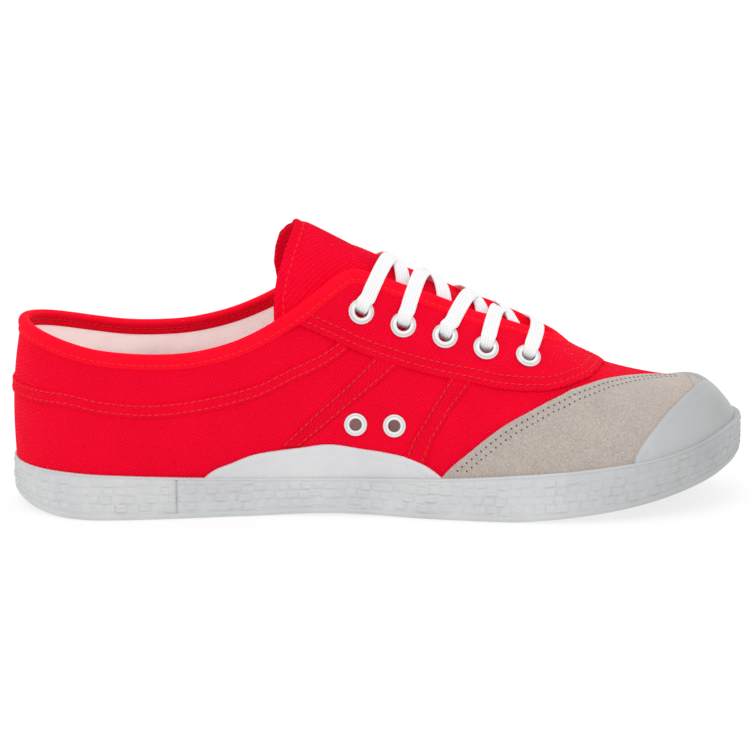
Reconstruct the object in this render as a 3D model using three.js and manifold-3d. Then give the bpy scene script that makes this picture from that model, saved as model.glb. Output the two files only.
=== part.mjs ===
// Low canvas sneaker, left shoe, standing empty on its sole.
// Sizes in millimetres. X runs from heel to toe, Y to the outer side of the foot, Z up.
import * as THREE from 'three';
import { mergeVertices } from 'three/addons/utils/BufferGeometryUtils.js';
import Module from 'manifold-3d';

const wasm = await Module();
wasm.setup();

// Driving sizes
const LENGTH = 285;
const BALL = 101;
const HEEL = 72;
const INSTEP = 120;
const BACK = 75.5;
const SOLE = 19;
const SPRING = 16.5;
const WALL = 2;
const PLY = 0.9;
const STEP = 0.7;
const GAP = 0.3;

// Sole under the upper
const PLATE = 5;
const FEATHER = 6;
const INSOLE = 4;
const PLATE_INSET = 8;
const GROOVE_WIDTH = 2.6;
const GROOVE_DEPTH = 1.6;
const GROOVE_PITCH = 9.5;

// Added pieces
const CAP_THICK = 1.8;
const SUEDE_THICK = 1.1;
const GUARD_THICK = 1.2;
const TONGUE_THICK = 2.2;
const TONGUE_DROP = 1;
const BINDING = 5.9;
const EYELET_OUTER = 5;
const EYELET_HOLE = 2.45;
const EYELET_BARREL = 3;
const EYELET_RISE = 0.9;
const EYELET_DEEP = 2.6;
const VENT_SCALE = 0.89;
const LACE_WIDTH = 6;
const LACE_THICK = 1.1;

const HEEL_AXIS = 0.133 * LENGTH;
const TOE_FROM = 0.7 * LENGTH;
const TOE_POWER = 2.3;
const FRONT_FROM = 0.92 * LENGTH;
const FRONT_POWER = 2.7;
const STATIONS = 26;
const ROWS = 6;
const SLICES = 26;

// Smooth curve through the rows of a table, level wherever two rows are equal
function curve(rows, column = 1) {
  const xs = rows.map((row) => row[0]);
  const ys = rows.map((row) => row[column]);
  const last = xs.length - 1;
  const rise = xs.slice(1).map((x, i) => (ys[i + 1] - ys[i]) / (x - xs[i]));
  const slope = xs.map((x, i) => {
    if (i === 0) return rise[0];
    if (i === last) return rise[last - 1];
    if (rise[i - 1] === 0 || rise[i] === 0) return 0;
    const before = x - xs[i - 1];
    const after = xs[i + 1] - x;
    return (rise[i - 1] * after + rise[i] * before) / (before + after);
  });
  return (at) => {
    const x = Math.min(Math.max(at, xs[0]), xs[last]);
    let i = 0;
    while (i < last - 1 && x > xs[i + 1]) i += 1;
    const h = xs[i + 1] - xs[i];
    const t = (x - xs[i]) / h;
    const s = 1 - t;
    return (1 + 2 * t) * s * s * ys[i] + t * s * s * h * slope[i]
      + t * t * (3 - 2 * t) * ys[i + 1] - t * t * s * h * slope[i + 1];
  };
}

// Rows whose first column is a share of the length, the others shares of the given sizes
function scaled(rows, ...sizes) {
  return rows.map((row) => [row[0] * LENGTH, ...row.slice(1).map((v, i) => v * sizes[i])]);
}

// Outline of the sole: at, inner half width, outer half width, sideways swing of the middle
const HEEL_SHARE = HEEL / BALL;
const PLAN = scaled([
  [0.00, 0.50 * HEEL_SHARE, 0.50 * HEEL_SHARE, 0],
  [0.14, 0.50 * HEEL_SHARE, 0.50 * HEEL_SHARE, 0],
  [0.22, 0.49 * HEEL_SHARE, 0.525 * HEEL_SHARE, 0],
  [0.32, 0.46 * HEEL_SHARE, 0.565 * HEEL_SHARE, 0],
  [0.41, 0.47 * HEEL_SHARE, 0.425, 0],
  [0.49, 0.51 * HEEL_SHARE, 0.455, -0.003],
  [0.58, 0.425, 0.487, -0.01],
  [0.66, 0.465, 0.507, -0.02],
  [0.73, 0.482, 0.502, -0.032],
  [0.81, 0.480, 0.477, -0.05],
  [1.00, 0.470, 0.440, -0.084],
], BALL, BALL, BALL);
const innerWidth = curve(PLAN, 1);
const outerWidth = curve(PLAN, 2);
const swing = curve(PLAN, 3);

// Underside: at, height
const bottom = curve(scaled([
  [0.00, 0.15], [0.035, 0.03], [0.085, 0], [0.31, 0], [0.43, 0.05], [0.555, 0], [0.665, 0],
  [0.70, 0.035], [0.74, 0.10], [0.785, 0.19], [0.84, 0.325], [0.885, 0.46], [0.92, 0.585],
  [0.95, 0.715], [0.98, 0.88], [1.00, 1.0],
], SPRING));

// Top edge of the rubber side wall: at, height
const foxingTop = curve(scaled([
  [0.00, 1.0], [0.05, 1.0], [0.12, 0.97], [0.19, 0.91], [0.26, 0.855], [0.33, 0.81], [0.39, 0.80],
  [0.46, 0.805], [0.52, 0.83], [0.58, 0.88], [0.68, 1.0], [0.78, 1.13], [0.84, 1.215], [0.88, 1.30],
  [0.92, 1.43], [0.95, 1.56], [0.975, 1.68], [1.00, 1.75],
], SOLE));

// Corner radius at the lower edge of the side wall
const foxingRound = curve(scaled([
  [0.00, 0.28], [0.03, 0.24], [0.10, 0.14], [0.80, 0.14], [0.93, 0.24], [1.00, 0.28],
], SOLE));

// Middle line of the instep: at, height
const ridge = curve(scaled([
  [0.00, 0.99], [0.37, 0.975], [0.42, 0.915], [0.525, 0.785], [0.60, 0.703], [0.675, 0.612],
  [0.73, 0.538], [0.80, 0.447], [0.87, 0.400], [0.93, 0.383], [1.00, 0.38],
], INSTEP));

// Where the upper stands inside the sole's outline
const inset = curve(scaled([
  [0, 0.084], [0.15, 0.126], [0.4, 0.158], [0.6, 0.168], [0.8, 0.19], [1, 0.242],
], SOLE));

// Cross sections: at, height power, width power, swell of the side
const SECTION = scaled([
  [0.00, 3.2, 2.2, 0.084],
  [0.13, 2.4, 2.1, 0.084],
  [0.30, 2.3, 2.1, 0.08],
  [0.38, 1.85, 2.1, 0.08],
  [0.46, 1.38, 2.0, 0.09],
  [0.56, 1.32, 1.95, 0.11],
  [0.68, 1.52, 2.0, 0.13],
  [0.80, 1.95, 2.2, 0.105],
  [0.90, 2.3, 2.3, 0.05],
  [1.00, 2.4, 2.4, 0],
], 1, 1, SOLE);
const heightPower = curve(SECTION, 1);
const widthPower = curve(SECTION, 2);
const swell = curve(SECTION, 3);

// Outline of the sole at one place, inner side -1, outer side 1
function footprint(x, side) {
  const behind = Math.max(0, 1 - x / HEEL_AXIS);
  const ahead = Math.max(0, (x - TOE_FROM) / (LENGTH - TOE_FROM));
  const heelRound = Math.sqrt(Math.max(0, 1 - behind ** 2));
  const toeRound = Math.sqrt(Math.max(0, 1 - ahead ** TOE_POWER));
  return swing(x) + side * heelRound * toeRound * (side < 0 ? innerWidth(x) : outerWidth(x));
}

// Places from heel to toe, closer together at both ends
function stations(from, to, count) {
  const share = (i) => (1 - Math.cos(Math.PI * i / count)) / 2;
  return Array.from({ length: count + 1 }, (_, i) => from + (to - from) * share(i));
}

// Closed outline moved inward by a distance that may change along the shoe
function outlineLoop(moveIn, count) {
  const xs = stations(0, LENGTH, count);
  const inner = xs.map((x) => new THREE.Vector2(x, footprint(x, -1)));
  const outer = xs.map((x) => new THREE.Vector2(x, footprint(x, 1)));
  const loop = [...inner, ...outer.slice(1, -1).reverse()];
  return loop.map((p, i) => {
    const before = loop[(i + loop.length - 1) % loop.length];
    const after = loop[(i + 1) % loop.length];
    const along = after.clone().sub(before).normalize();
    const inward = new THREE.Vector2(-along.y, along.x);
    return p.clone().addScaledVector(inward, moveIn(p.x));
  });
}

// Side lines of the last, moved outward by a distance
const OUTLINE_COUNT = 200;
const lines = new Map();
function lastLines(out) {
  if (!lines.has(out)) {
    const loop = outlineLoop((x) => inset(x) - out, OUTLINE_COUNT);
    const inner = loop.slice(0, OUTLINE_COUNT + 1);
    const outer = [loop[0], ...loop.slice(OUTLINE_COUNT).reverse()];
    lines.set(out, { inner, outer, back: inner[0].x, front: inner[OUTLINE_COUNT].x });
  }
  return lines.get(out);
}

function sideLine(x, side, out) {
  const points = side < 0 ? lastLines(out).inner : lastLines(out).outer;
  let low = 0;
  let high = points.length - 1;
  while (high - low > 1) {
    const middle = (low + high) >> 1;
    if (points[middle].x <= x) low = middle;
    else high = middle;
  }
  const share = Math.min(Math.max((x - points[low].x) / (points[high].x - points[low].x), 0), 1);
  return points[low].y + share * (points[high].y - points[low].y);
}

// Lower and upper height of the last at a place
function heights(x, out) {
  const low = bottom(x) + FEATHER;
  const top = ridge(Math.max(x, HEEL_AXIS)) + out;
  const front = lastLines(out).front;
  const ahead = Math.min(Math.max((x - FRONT_FROM) / (front - FRONT_FROM), 0), 1);
  return [low, low + (top - low) * Math.sqrt(Math.max(0, 1 - ahead ** FRONT_POWER))];
}

// The side swells up to a share of the height, fully where the last is wide enough
const SWELL_TOP = 0.62;
const SWELL_FULL = 0.28 * HEEL;
function place(x, side, h, r, out) {
  const [low, top] = heights(x, out);
  const midX = Math.max(x, HEEL_AXIS);
  const midY = x < HEEL_AXIS ? 0 : swing(x);
  const dx = x - midX;
  const dy = sideLine(x, side, out) - midY;
  const reach = Math.max(Math.hypot(dx, dy), 1e-6);
  const lift = h < SWELL_TOP ? Math.sin(Math.PI * h / SWELL_TOP) : 0;
  const bulge = swell(x) * lift * Math.min(reach / SWELL_FULL, 1);
  const spread = r + bulge / reach;
  return new THREE.Vector3(midX + dx * spread, midY + dy * spread, low + (top - low) * h);
}

// Point of the last: station, side, turn from 0 at the sole to 1 at the middle line
function lastPoint(x, side, turn, out) {
  const angle = turn * Math.PI / 2;
  const h = turn >= 1 ? 1 : Math.sin(angle) ** (2 / heightPower(x));
  const r = turn >= 1 ? 0 : Math.cos(angle) ** (2 / widthPower(x));
  return place(x, side, h, r, out);
}

// Point of the last at a place of the side view, ahead of the heel's axis
function onSide(x, z, side, out) {
  const [low, top] = heights(x, out);
  const h = Math.min(Math.max((z - low) / (top - low), 0), 1);
  const r = Math.max(0, 1 - h ** heightPower(x)) ** (1 / widthPower(x));
  return place(x, side, h, r, out);
}

// Outward direction of the last at a place of the side view
const NUDGE = 0.5;
function outward(x, z, side, out) {
  const along = onSide(x + NUDGE, z, side, out).sub(onSide(x - NUDGE, z, side, out));
  const up = onSide(x, z + NUDGE, side, out).sub(onSide(x, z - NUDGE, side, out));
  return along.cross(up).multiplyScalar(-side).normalize();
}

// Solids
function solidFrom(points, faces) {
  const vertProperties = new Float32Array(points.flatMap((p) => [p.x, p.y, p.z]));
  const triVerts = new Uint32Array(faces.flat());
  return new wasm.Manifold(new wasm.Mesh({ numProp: 3, vertProperties, triVerts }));
}

function solidOf(geometry) {
  const plain = new THREE.BufferGeometry();
  plain.setAttribute('position', geometry.getAttribute('position'));
  if (geometry.index) plain.setIndex(geometry.index);
  const merged = mergeVertices(plain, 1e-4);
  const position = merged.getAttribute('position');
  const point = (_, i) => new THREE.Vector3().fromBufferAttribute(position, i);
  const points = Array.from({ length: position.count }, point);
  const index = Array.from(merged.index.array);
  const faces = Array.from({ length: index.length / 3 }, (_, i) => index.slice(3 * i, 3 * i + 3));
  const whole = faces.filter(([a, b, c]) => a !== b && b !== c && c !== a);
  return solidFrom(points, whole);
}

// Closed skin through loops of equal count, listed upward; the last loop may fold onto one line
function stack(loops, folded = false) {
  const count = loops[0].length;
  const half = count / 2;
  const top = (loops.length - 1) * count;
  const faces = [];
  for (let row = 0; row + 1 < loops.length; row += 1) {
    for (let i = 0; i < count; i += 1) {
      const a = row * count + i;
      const b = row * count + (i + 1) % count;
      faces.push([a, b, b + count], [a, b + count, a + count]);
    }
  }
  for (let i = 0; i < half; i += 1) {
    const b = i + 1;
    const c = count - i - 1;
    const d = (count - i) % count;
    const cap = [];
    if (c !== b) cap.push([i, b, c]);
    if (d !== i) cap.push(c === b ? [i, b, d] : [i, c, d]);
    cap.forEach(([p, q, r]) => {
      faces.push([p, r, q]);
      if (!folded) faces.push([top + p, top + q, top + r]);
    });
  }
  const geometry = new THREE.BufferGeometry();
  geometry.setFromPoints(loops.flat());
  geometry.setIndex(faces.flat());
  return solidOf(geometry);
}

// The last as one solid, moved outward by a distance, with straight sides down below the sole
const SKIRT = 30;
const LONG_SKIRT = 1.1 * SKIRT;
function lastSolid(out, skirt = SKIRT) {
  const { back, front } = lastLines(out);
  const xs = stations(back, front, STATIONS);
  const ring = (turn) => {
    const inner = xs.map((x) => lastPoint(x, -1, turn, out));
    const outer = xs.slice(1, -1).reverse().map((x) => lastPoint(x, 1, turn, out));
    return [...inner, ...outer];
  };
  const foot = ring(0).map((p) => p.setZ(-skirt));
  const turns = Array.from({ length: ROWS + 1 }, (_, i) => i / ROWS);
  return stack([foot, ...turns.map(ring)], true);
}

// Prisms: a shape of the side view drawn right through, and a shape of the plan drawn right up
const REACH = 90;
function sidePrism(points) {
  const shape = new THREE.Shape(points.map(([x, z]) => new THREE.Vector2(x, z)));
  const geometry = new THREE.ExtrudeGeometry(shape, { depth: 2 * REACH, bevelEnabled: false });
  geometry.translate(0, 0, -REACH);
  geometry.rotateX(Math.PI / 2);
  return solidOf(geometry);
}

function planPrism(points) {
  const shape = new THREE.Shape(points.map(([x, y]) => new THREE.Vector2(x, y)));
  const geometry = new THREE.ExtrudeGeometry(shape, { depth: 3 * REACH, bevelEnabled: false });
  geometry.translate(0, 0, -REACH);
  return solidOf(geometry);
}

function along(from, to, count) {
  return Array.from({ length: count + 1 }, (_, i) => from + (to - from) * i / count);
}

// Side view area between two lines of height
function between(xs, low, high) {
  const lower = xs.map((x) => [x, low(x)]);
  const upper = xs.map((x) => [x, high(x)]).reverse();
  return sidePrism([...lower, ...upper]);
}

function band(from, to, count, low, high) {
  return between(along(from, to, count), low, high);
}

// The same from behind the heel to ahead of the toe, level past both ends
function wholeBand(low, high) {
  return between([-REACH, ...stations(0, LENGTH, SLICES), LENGTH + REACH], low, high);
}

const SKY = 2 * INSTEP;
const sky = () => SKY;
const ground = () => -REACH / 2;

// Collar line of the side view: at, height
const COLLAR_END = 0.452 * LENGTH;
const collar = curve(scaled([
  [0.00, 1.0], [0.04, 0.955], [0.12, 0.882], [0.185, 0.857], [0.255, 0.868], [0.31, 0.92],
  [0.36, 1.01], [0.39, 1.08], [0.43, 1.185], [0.452, 1.235], [0.50, 1.25],
], BACK));

// Throat: half width along its length, closing in a round end
const THROAT_FROM = 0.40 * LENGTH;
const THROAT_TO = 0.742 * LENGTH;
const throat = curve(scaled([
  [0.40, 0.168], [0.446, 0.144], [0.471, 0.127], [0.50, 0.121], [0.54, 0.122], [0.60, 0.127],
  [0.63, 0.130], [0.66, 0.116], [0.70, 0.09], [0.725, 0.06], [0.737, 0.033], [0.742, 0],
], BALL));

function throatPrism(grow) {
  const xs = [...along(THROAT_FROM, 0.7 * LENGTH, 7), ...along(0.715 * LENGTH, THROAT_TO, 4)];
  const wide = (x, side) => [x + (x >= THROAT_TO ? grow : 0), swing(x) + side * (throat(x) + grow)];
  const inner = xs.map((x) => wide(x, -1));
  const outer = xs.map((x) => wide(x, 1)).reverse();
  return planPrism([...inner, ...outer]);
}

function collarPrism(drop) {
  const xs = [-REACH, ...along(0, COLLAR_END, 13)];
  const low = xs.map((x) => [x, collar(x) - drop]);
  return sidePrism([...low, [COLLAR_END, SKY], [-REACH, SKY]]);
}

// Lacing eyelets of one side: at, height
const EYESTAY_OUT = GAP + PLY;
const EYELETS = scaled([
  [0.473, 0.645], [0.530, 0.601], [0.586, 0.566], [0.641, 0.528], [0.698, 0.498],
], INSTEP);
const VENTS = scaled([[0.463, 0.2975], [0.515, 0.295]], INSTEP);

// Eyestay: lower edge of the side view, then its round front of the plan
const EYESTAY_TURN = 0.695 * LENGTH;
const EYESTAY_FRONT = 0.813 * LENGTH;
const eyestayLow = curve(scaled([
  [0.37, 0.632], [0.41, 0.592], [0.44, 0.557], [0.46, 0.534], [0.502, 0.497], [0.543, 0.469],
  [0.584, 0.4475], [0.618, 0.434], [0.655, 0.416], [0.695, 0.4065],
], INSTEP));
const eyestayRound = curve([[0, 1], [0.31, 0.955], [0.59, 0.80], [0.815, 0.54], [0.93, 0.26], [1, 0]]);
const EYESTAY_BACK = 0.37 * LENGTH;

// Suede guard: top edge of the side view, then a notch of the plan, fuller on the outer side and
// leaning to that side at its front
const SUEDE_BACK = 0.575 * LENGTH;
const SUEDE_TURN = 0.751 * LENGTH;
const SUEDE_FRONT = 0.93 * LENGTH;
const SUEDE_LEAN = 0.084 * BALL;
const suedeTop = curve(scaled([
  [0.56, 0.085], [0.581, 0.153], [0.614, 0.226], [0.655, 0.301], [0.702, 0.358], [0.751, 0.405],
], INSTEP));
const suedeInner = curve([
  [0, 1], [0.13, 0.87], [0.27, 0.69], [0.40, 0.53], [0.55, 0.35], [0.69, 0.20], [0.82, 0.115],
  [0.91, 0.05], [1, 0],
]);
const suedeOuter = curve([
  [0, 1], [0.17, 0.94], [0.345, 0.86], [0.53, 0.75], [0.71, 0.60], [0.88, 0.38], [1, 0],
]);

// Toe cap: rear edge of the plan
const CAP_BACK = 0.946 * LENGTH;
const CAP_SWEEP = 0.109 * LENGTH;
const CAP_SPREAD = 0.396 * BALL;
const CAP_WIDE = 1.4;
const CAP_POWER = 1.65;

// Rubber guard beside the arch, inner side only
const guardTop = curve(scaled([
  [0.245, 0.10], [0.262, 0.143], [0.297, 0.181], [0.322, 0.203], [0.354, 0.216], [0.39, 0.226],
  [0.426, 0.235], [0.472, 0.22], [0.503, 0.21], [0.534, 0.195], [0.559, 0.17], [0.579, 0.135],
  [0.60, 0.09],
], INSTEP));
const GUARD_FROM = 0.245 * LENGTH;
const GUARD_TO = 0.60 * LENGTH;

// Half of the last's width at the end of a side view edge
function halfWidth(x, z) {
  return Math.abs(onSide(x, z, -1, 0).y - swing(x));
}

// Plan area ahead of a turn, inside a round front with one shape for each side
const FRONT_SHARES = [0, 0.2, 0.4, 0.58, 0.75, 0.88, 0.96, 1];
function roundPrism(turn, front, half, shapes, lean, grow) {
  const edge = (side, shape) => FRONT_SHARES.map((share) => {
    const x = turn + share * (front - turn);
    const middle = swing(x) + lean * share ** 2;
    return [x + (share === 1 ? grow : 0), middle + side * (half * shape(share) + grow)];
  });
  return planPrism([...edge(-1, shapes[0]), ...edge(1, shapes[1]).reverse()]);
}

function eyestayArea(grow) {
  const side = band(EYESTAY_BACK - grow, EYESTAY_TURN, 14, (x) => eyestayLow(x) - grow, sky);
  const half = halfWidth(EYESTAY_TURN, eyestayLow(EYESTAY_TURN));
  const shapes = [eyestayRound, eyestayRound];
  return side.add(roundPrism(EYESTAY_TURN, EYESTAY_FRONT, half, shapes, 0, grow));
}

function capArea(grow) {
  const half = CAP_WIDE * CAP_SPREAD;
  const rows = along(-CAP_WIDE, CAP_WIDE, 16).map((share) => {
    const x = CAP_BACK - CAP_SWEEP * Math.abs(share) ** CAP_POWER - grow;
    return [x, swing(CAP_BACK) + share * CAP_SPREAD];
  });
  return planPrism([[LENGTH + REACH, -half], [LENGTH + REACH, half], ...rows.reverse()]);
}

function shell(from, thick) {
  return lastSolid(from + thick).subtract(lastSolid(from, LONG_SKIRT));
}

const aboveFoxing = wholeBand((x) => foxingTop(x) + GAP, sky);

// Rubber side wall and the recess for the tread plate
function soleLoop(moveIn, height) {
  return outlineLoop(moveIn, SLICES).map((p) => new THREE.Vector3(p.x, p.y, height(p.x)));
}

const LIP = 0.6;
const TURN = 1 - Math.SQRT1_2;
function soleBody() {
  return stack([
    soleLoop((x) => foxingRound(x), (x) => bottom(x)),
    soleLoop((x) => TURN * foxingRound(x), (x) => bottom(x) + TURN * foxingRound(x)),
    soleLoop(() => 0, (x) => bottom(x) + foxingRound(x)),
    soleLoop(() => 0, (x) => foxingTop(x) - LIP),
    soleLoop(() => LIP, (x) => foxingTop(x)),
  ]);
}

const seat = (x) => bottom(x) + PLATE;
const aboveSeat = (lift) => wholeBand((x) => seat(x) + lift, sky);

function plateBody(grow, low, high) {
  const edge = () => PLATE_INSET - grow;
  return stack([soleLoop(edge, low), soleLoop(edge, high)]);
}

const JOINT_AT = 0.22 * LENGTH;
const JOINT_WIDTH = 0.6;
const JOINT_DEPTH = 0.7;
function buildFoxing() {
  const room = lastSolid(GAP).intersect(aboveSeat(0));
  const recess = plateBody(GAP, () => -REACH, (x) => seat(x) + GAP);
  const joint = new THREE.BoxGeometry(JOINT_WIDTH, 2 * JOINT_DEPTH, 2 * REACH);
  joint.translate(JOINT_AT, footprint(JOINT_AT, -1), 0);
  return soleBody().subtract(room).subtract(recess).subtract(solidOf(joint));
}

// Cross grooves under the heel and the forefoot, none under the waist
const GROOVE_FROM = 0.06 * LENGTH;
const GROOVE_TO = 0.95 * LENGTH;
const WAIST_FROM = 0.30 * LENGTH;
const WAIST_TO = 0.52 * LENGTH;
function buildOutsole() {
  const count = Math.floor((GROOVE_TO - GROOVE_FROM) / GROOVE_PITCH);
  const places = Array.from({ length: count + 1 }, (_, i) => GROOVE_FROM + i * GROOVE_PITCH);
  const cuts = places.filter((x) => x <= WAIST_FROM || x >= WAIST_TO).map((x) => {
    const rear = x - GROOVE_WIDTH / 2;
    const front = x + GROOVE_WIDTH / 2;
    const low = bottom(x) - PLATE;
    const high = bottom(x) + GROOVE_DEPTH;
    return sidePrism([[rear, low], [front, low], [front, high], [rear, high]]);
  });
  return plateBody(0, bottom, seat).subtract(wasm.Manifold.union(cuts));
}

function buildInsole() {
  const edge = (x) => inset(x) + WALL + 2 * GAP;
  return stack([soleLoop(edge, (x) => seat(x) + GAP), soleLoop(edge, (x) => seat(x) + GAP + INSOLE)]);
}

// Straps stitched on the side: foot and head, front and rear edge, in shares of length and instep
const STRAPS = [
  [[0.361, 0.23], [0.402, 0.325], [0.442, 0.405], [0.50, 0.53], [0.55, 0.53], [0.497, 0.43], [0.459, 0.362],
    [0.422, 0.292], [0.385, 0.225]],
  [[0.525, 0.18], [0.538, 0.255], [0.566, 0.36], [0.60, 0.48], [0.64, 0.48], [0.593, 0.354], [0.567, 0.255],
    [0.556, 0.18]],
];

// Raised strip round the heel: lower edge of the side view and its width
const stripLow = curve(scaled([
  [0.00, 0.592], [0.067, 0.592], [0.12, 0.557], [0.186, 0.532], [0.253, 0.552], [0.293, 0.578],
  [0.335, 0.62], [0.376, 0.69], [0.42, 0.76], [0.46, 0.85],
], BACK));
const STRIP = 0.075 * BACK;

function buildUpper() {
  const raised = lastSolid(STEP);
  const cover = eyestayArea(GAP);
  const guardCover = band(GUARD_FROM - GAP, GUARD_TO + GAP, 24, ground, (x) => guardTop(x) + GAP);
  const suedeCover = band(SUEDE_BACK, SUEDE_TURN, 8, ground, (x) => suedeTop(x) + GAP);
  const straps = STRAPS.map((strap) => sidePrism(strap.map(([x, z]) => [x * LENGTH, z * INSTEP])));
  const strip = band(-REACH, 0.46 * LENGTH, 20, stripLow, (x) => stripLow(x) + STRIP);
  const binding = collarPrism(BINDING, -REACH).intersect(band(-REACH, 0.40 * LENGTH, 2, ground, sky));
  const steps = wasm.Manifold.union([...straps, strip, binding])
    .subtract(cover).subtract(guardCover).subtract(suedeCover).intersect(aboveFoxing);
  const body = lastSolid(0).add(raised.intersect(steps)).intersect(aboveSeat(GAP));
  const hollow = lastSolid(-WALL, LONG_SKIRT).add(collarPrism(0)).add(throatPrism(0));
  let upper = body.subtract(hollow);
  for (const side of [-1, 1]) {
    EYELETS.forEach(([x, z]) => {
      upper = upper.subtract(hole(x, z, side, EYELET_BARREL + GAP, EYESTAY_OUT));
    });
  }
  VENTS.forEach(([x, z]) => {
    upper = upper.subtract(hole(x, z, -1, VENT_SCALE * EYELET_BARREL + GAP, 0));
    upper = upper.subtract(faced(x, z, -1, VENT_SCALE * EYELET_OUTER + GAP, 0));
  });
  return upper;
}

// Tools set square to the upper at a place of the side view
function setAt(geometry, x, z, side, out) {
  const normal = outward(x, z, side, out);
  const turn = new THREE.Quaternion().setFromUnitVectors(new THREE.Vector3(0, 0, 1), normal);
  const at = onSide(x, z, side, out);
  geometry.applyMatrix4(new THREE.Matrix4().compose(at, turn, new THREE.Vector3(1, 1, 1)));
  return geometry;
}

const ROUND = 9;
const HOLE_DEEP = 8;
function drum(radius, low, high) {
  const geometry = new THREE.CylinderGeometry(radius, radius, high - low, ROUND);
  geometry.rotateX(Math.PI / 2);
  geometry.translate(0, 0, (low + high) / 2);
  return geometry;
}

function hole(x, z, side, radius, out) {
  return solidOf(setAt(drum(radius, -HOLE_DEEP, HOLE_DEEP), x, z, side, out));
}

const SEAT_SINK = 0.45;
function faced(x, z, side, radius, out) {
  return solidOf(setAt(drum(radius, -SEAT_SINK, HOLE_DEEP), x, z, side, out));
}

function eyeletGeometry(scale, deep) {
  const r = EYELET_OUTER * scale;
  const bore = EYELET_HOLE * scale;
  const barrel = EYELET_BARREL * scale;
  const low = GAP - SEAT_SINK;
  const profile = [
    [bore, -deep], [barrel, -deep], [barrel, low], [r, low], [r * 0.8, low + EYELET_RISE],
    [bore * 1.1, low + EYELET_RISE * 0.8], [bore, -deep],
  ].map(([a, b]) => new THREE.Vector2(a, b));
  const geometry = new THREE.LatheGeometry(profile, ROUND);
  geometry.rotateX(Math.PI / 2);
  return geometry;
}

function buildEyelet(x, z, side, out, scale, deep) {
  return solidOf(setAt(eyeletGeometry(scale, deep), x, z, side, out));
}

function buildEyestay() {
  let piece = shell(GAP, PLY).intersect(eyestayArea(0)).subtract(collarPrism(0)).subtract(throatPrism(0));
  for (const side of [-1, 1]) {
    EYELETS.forEach(([x, z]) => {
      piece = piece.subtract(hole(x, z, side, EYELET_BARREL + GAP, EYESTAY_OUT));
      piece = piece.subtract(faced(x, z, side, EYELET_OUTER + GAP, EYESTAY_OUT));
    });
  }
  return piece;
}

function buildMudguard() {
  const half = halfWidth(SUEDE_TURN, suedeTop(SUEDE_TURN));
  const notch = roundPrism(SUEDE_TURN, SUEDE_FRONT, half, [suedeInner, suedeOuter], SUEDE_LEAN, 0);
  const vamp = band(SUEDE_BACK - REACH, SUEDE_TURN, 8, suedeTop, sky).add(notch);
  const behind = band(-REACH, SUEDE_BACK, 2, ground, sky);
  return shell(GAP, SUEDE_THICK).intersect(aboveFoxing).subtract(vamp).subtract(behind)
    .subtract(capArea(GAP)).subtract(eyestayArea(GAP));
}

function buildToeCap() {
  return shell(GAP, CAP_THICK).intersect(aboveFoxing).intersect(capArea(0));
}

function buildGuard() {
  const inner = planPrism([[0, -REACH], [LENGTH, -REACH], [LENGTH, 0], [0, 0]]);
  return shell(GAP, GUARD_THICK).intersect(aboveFoxing).intersect(inner)
    .intersect(band(GUARD_FROM, GUARD_TO, 16, ground, guardTop));
}

// Tongue: shell below the throat; its end leans back and is fuller on the outer half
const TONGUE_OUT = -WALL - GAP - TONGUE_DROP;
const TONGUE_FRONT = 0.80 * LENGTH;
const TONGUE_SIDE = scaled([
  [0.80, 0.33], [0.78, 0.34], [0.70, 0.40], [0.62, 0.45], [0.52, 0.49], [0.43, 0.52],
], INSTEP);
const TONGUE_ENDS = new Map([
  [-1, scaled([
    [0.36, 0.53], [0.357, 0.64], [0.357, 0.70], [0.363, 0.77], [0.376, 0.86], [0.388, 0.92], [0.40, 1.0],
  ], INSTEP)],
  [1, scaled([
    [0.38, 0.53], [0.373, 0.64], [0.3675, 0.71], [0.364, 0.76], [0.3665, 0.81], [0.372, 0.86],
    [0.383, 0.893], [0.392, 0.906], [0.40, 0.98],
  ], INSTEP)],
]);
function buildTongue() {
  const ahead = TONGUE_FRONT / 2;
  const front = planPrism([[ahead, -BALL], [LENGTH, -BALL], [LENGTH, BALL], [ahead, BALL]]);
  const halves = [-1, 1].map((side) => {
    const edge = [...TONGUE_ENDS.get(side), [0.42 * LENGTH, SKY], [TONGUE_FRONT, SKY], ...TONGUE_SIDE];
    const half = planPrism([[0, 0], [LENGTH, 0], [LENGTH, side * REACH], [0, side * REACH]]);
    return sidePrism(edge).intersect(half.add(front));
  });
  return shell(TONGUE_OUT - TONGUE_THICK, TONGUE_THICK).intersect(halves[0].add(halves[1]));
}

// Laces: flat ribbons from an eyelet over the middle line, under the other edge of the throat
function turnAt(x, z) {
  const [low, top] = heights(x, 0);
  return Math.asin(((z - low) / (top - low)) ** (heightPower(x) / 2)) * 2 / Math.PI;
}

// Share of the way round: 0 at the inner sole edge, 1 on the middle line, 2 at the outer sole edge
function roundPoint(x, way, out) {
  return way < 1 ? lastPoint(x, -1, way, out) : lastPoint(x, 1, 2 - way, out);
}

// First turn along one side that lies a distance from its start
const TURN_STEPS = 200;
function stepOn(x, side, from, distance, out) {
  const start = lastPoint(x, side, from, out);
  const past = (turn) => lastPoint(x, side, turn, out).distanceTo(start) >= distance;
  return along(from, 1, TURN_STEPS).find(past) ?? 1;
}

function throatEdge(x, side, from) {
  const inside = (turn) => Math.abs(lastPoint(x, side, turn, 0).y - swing(x)) <= throat(x);
  return along(from, 1, TURN_STEPS).find(inside) ?? 1;
}

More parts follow.
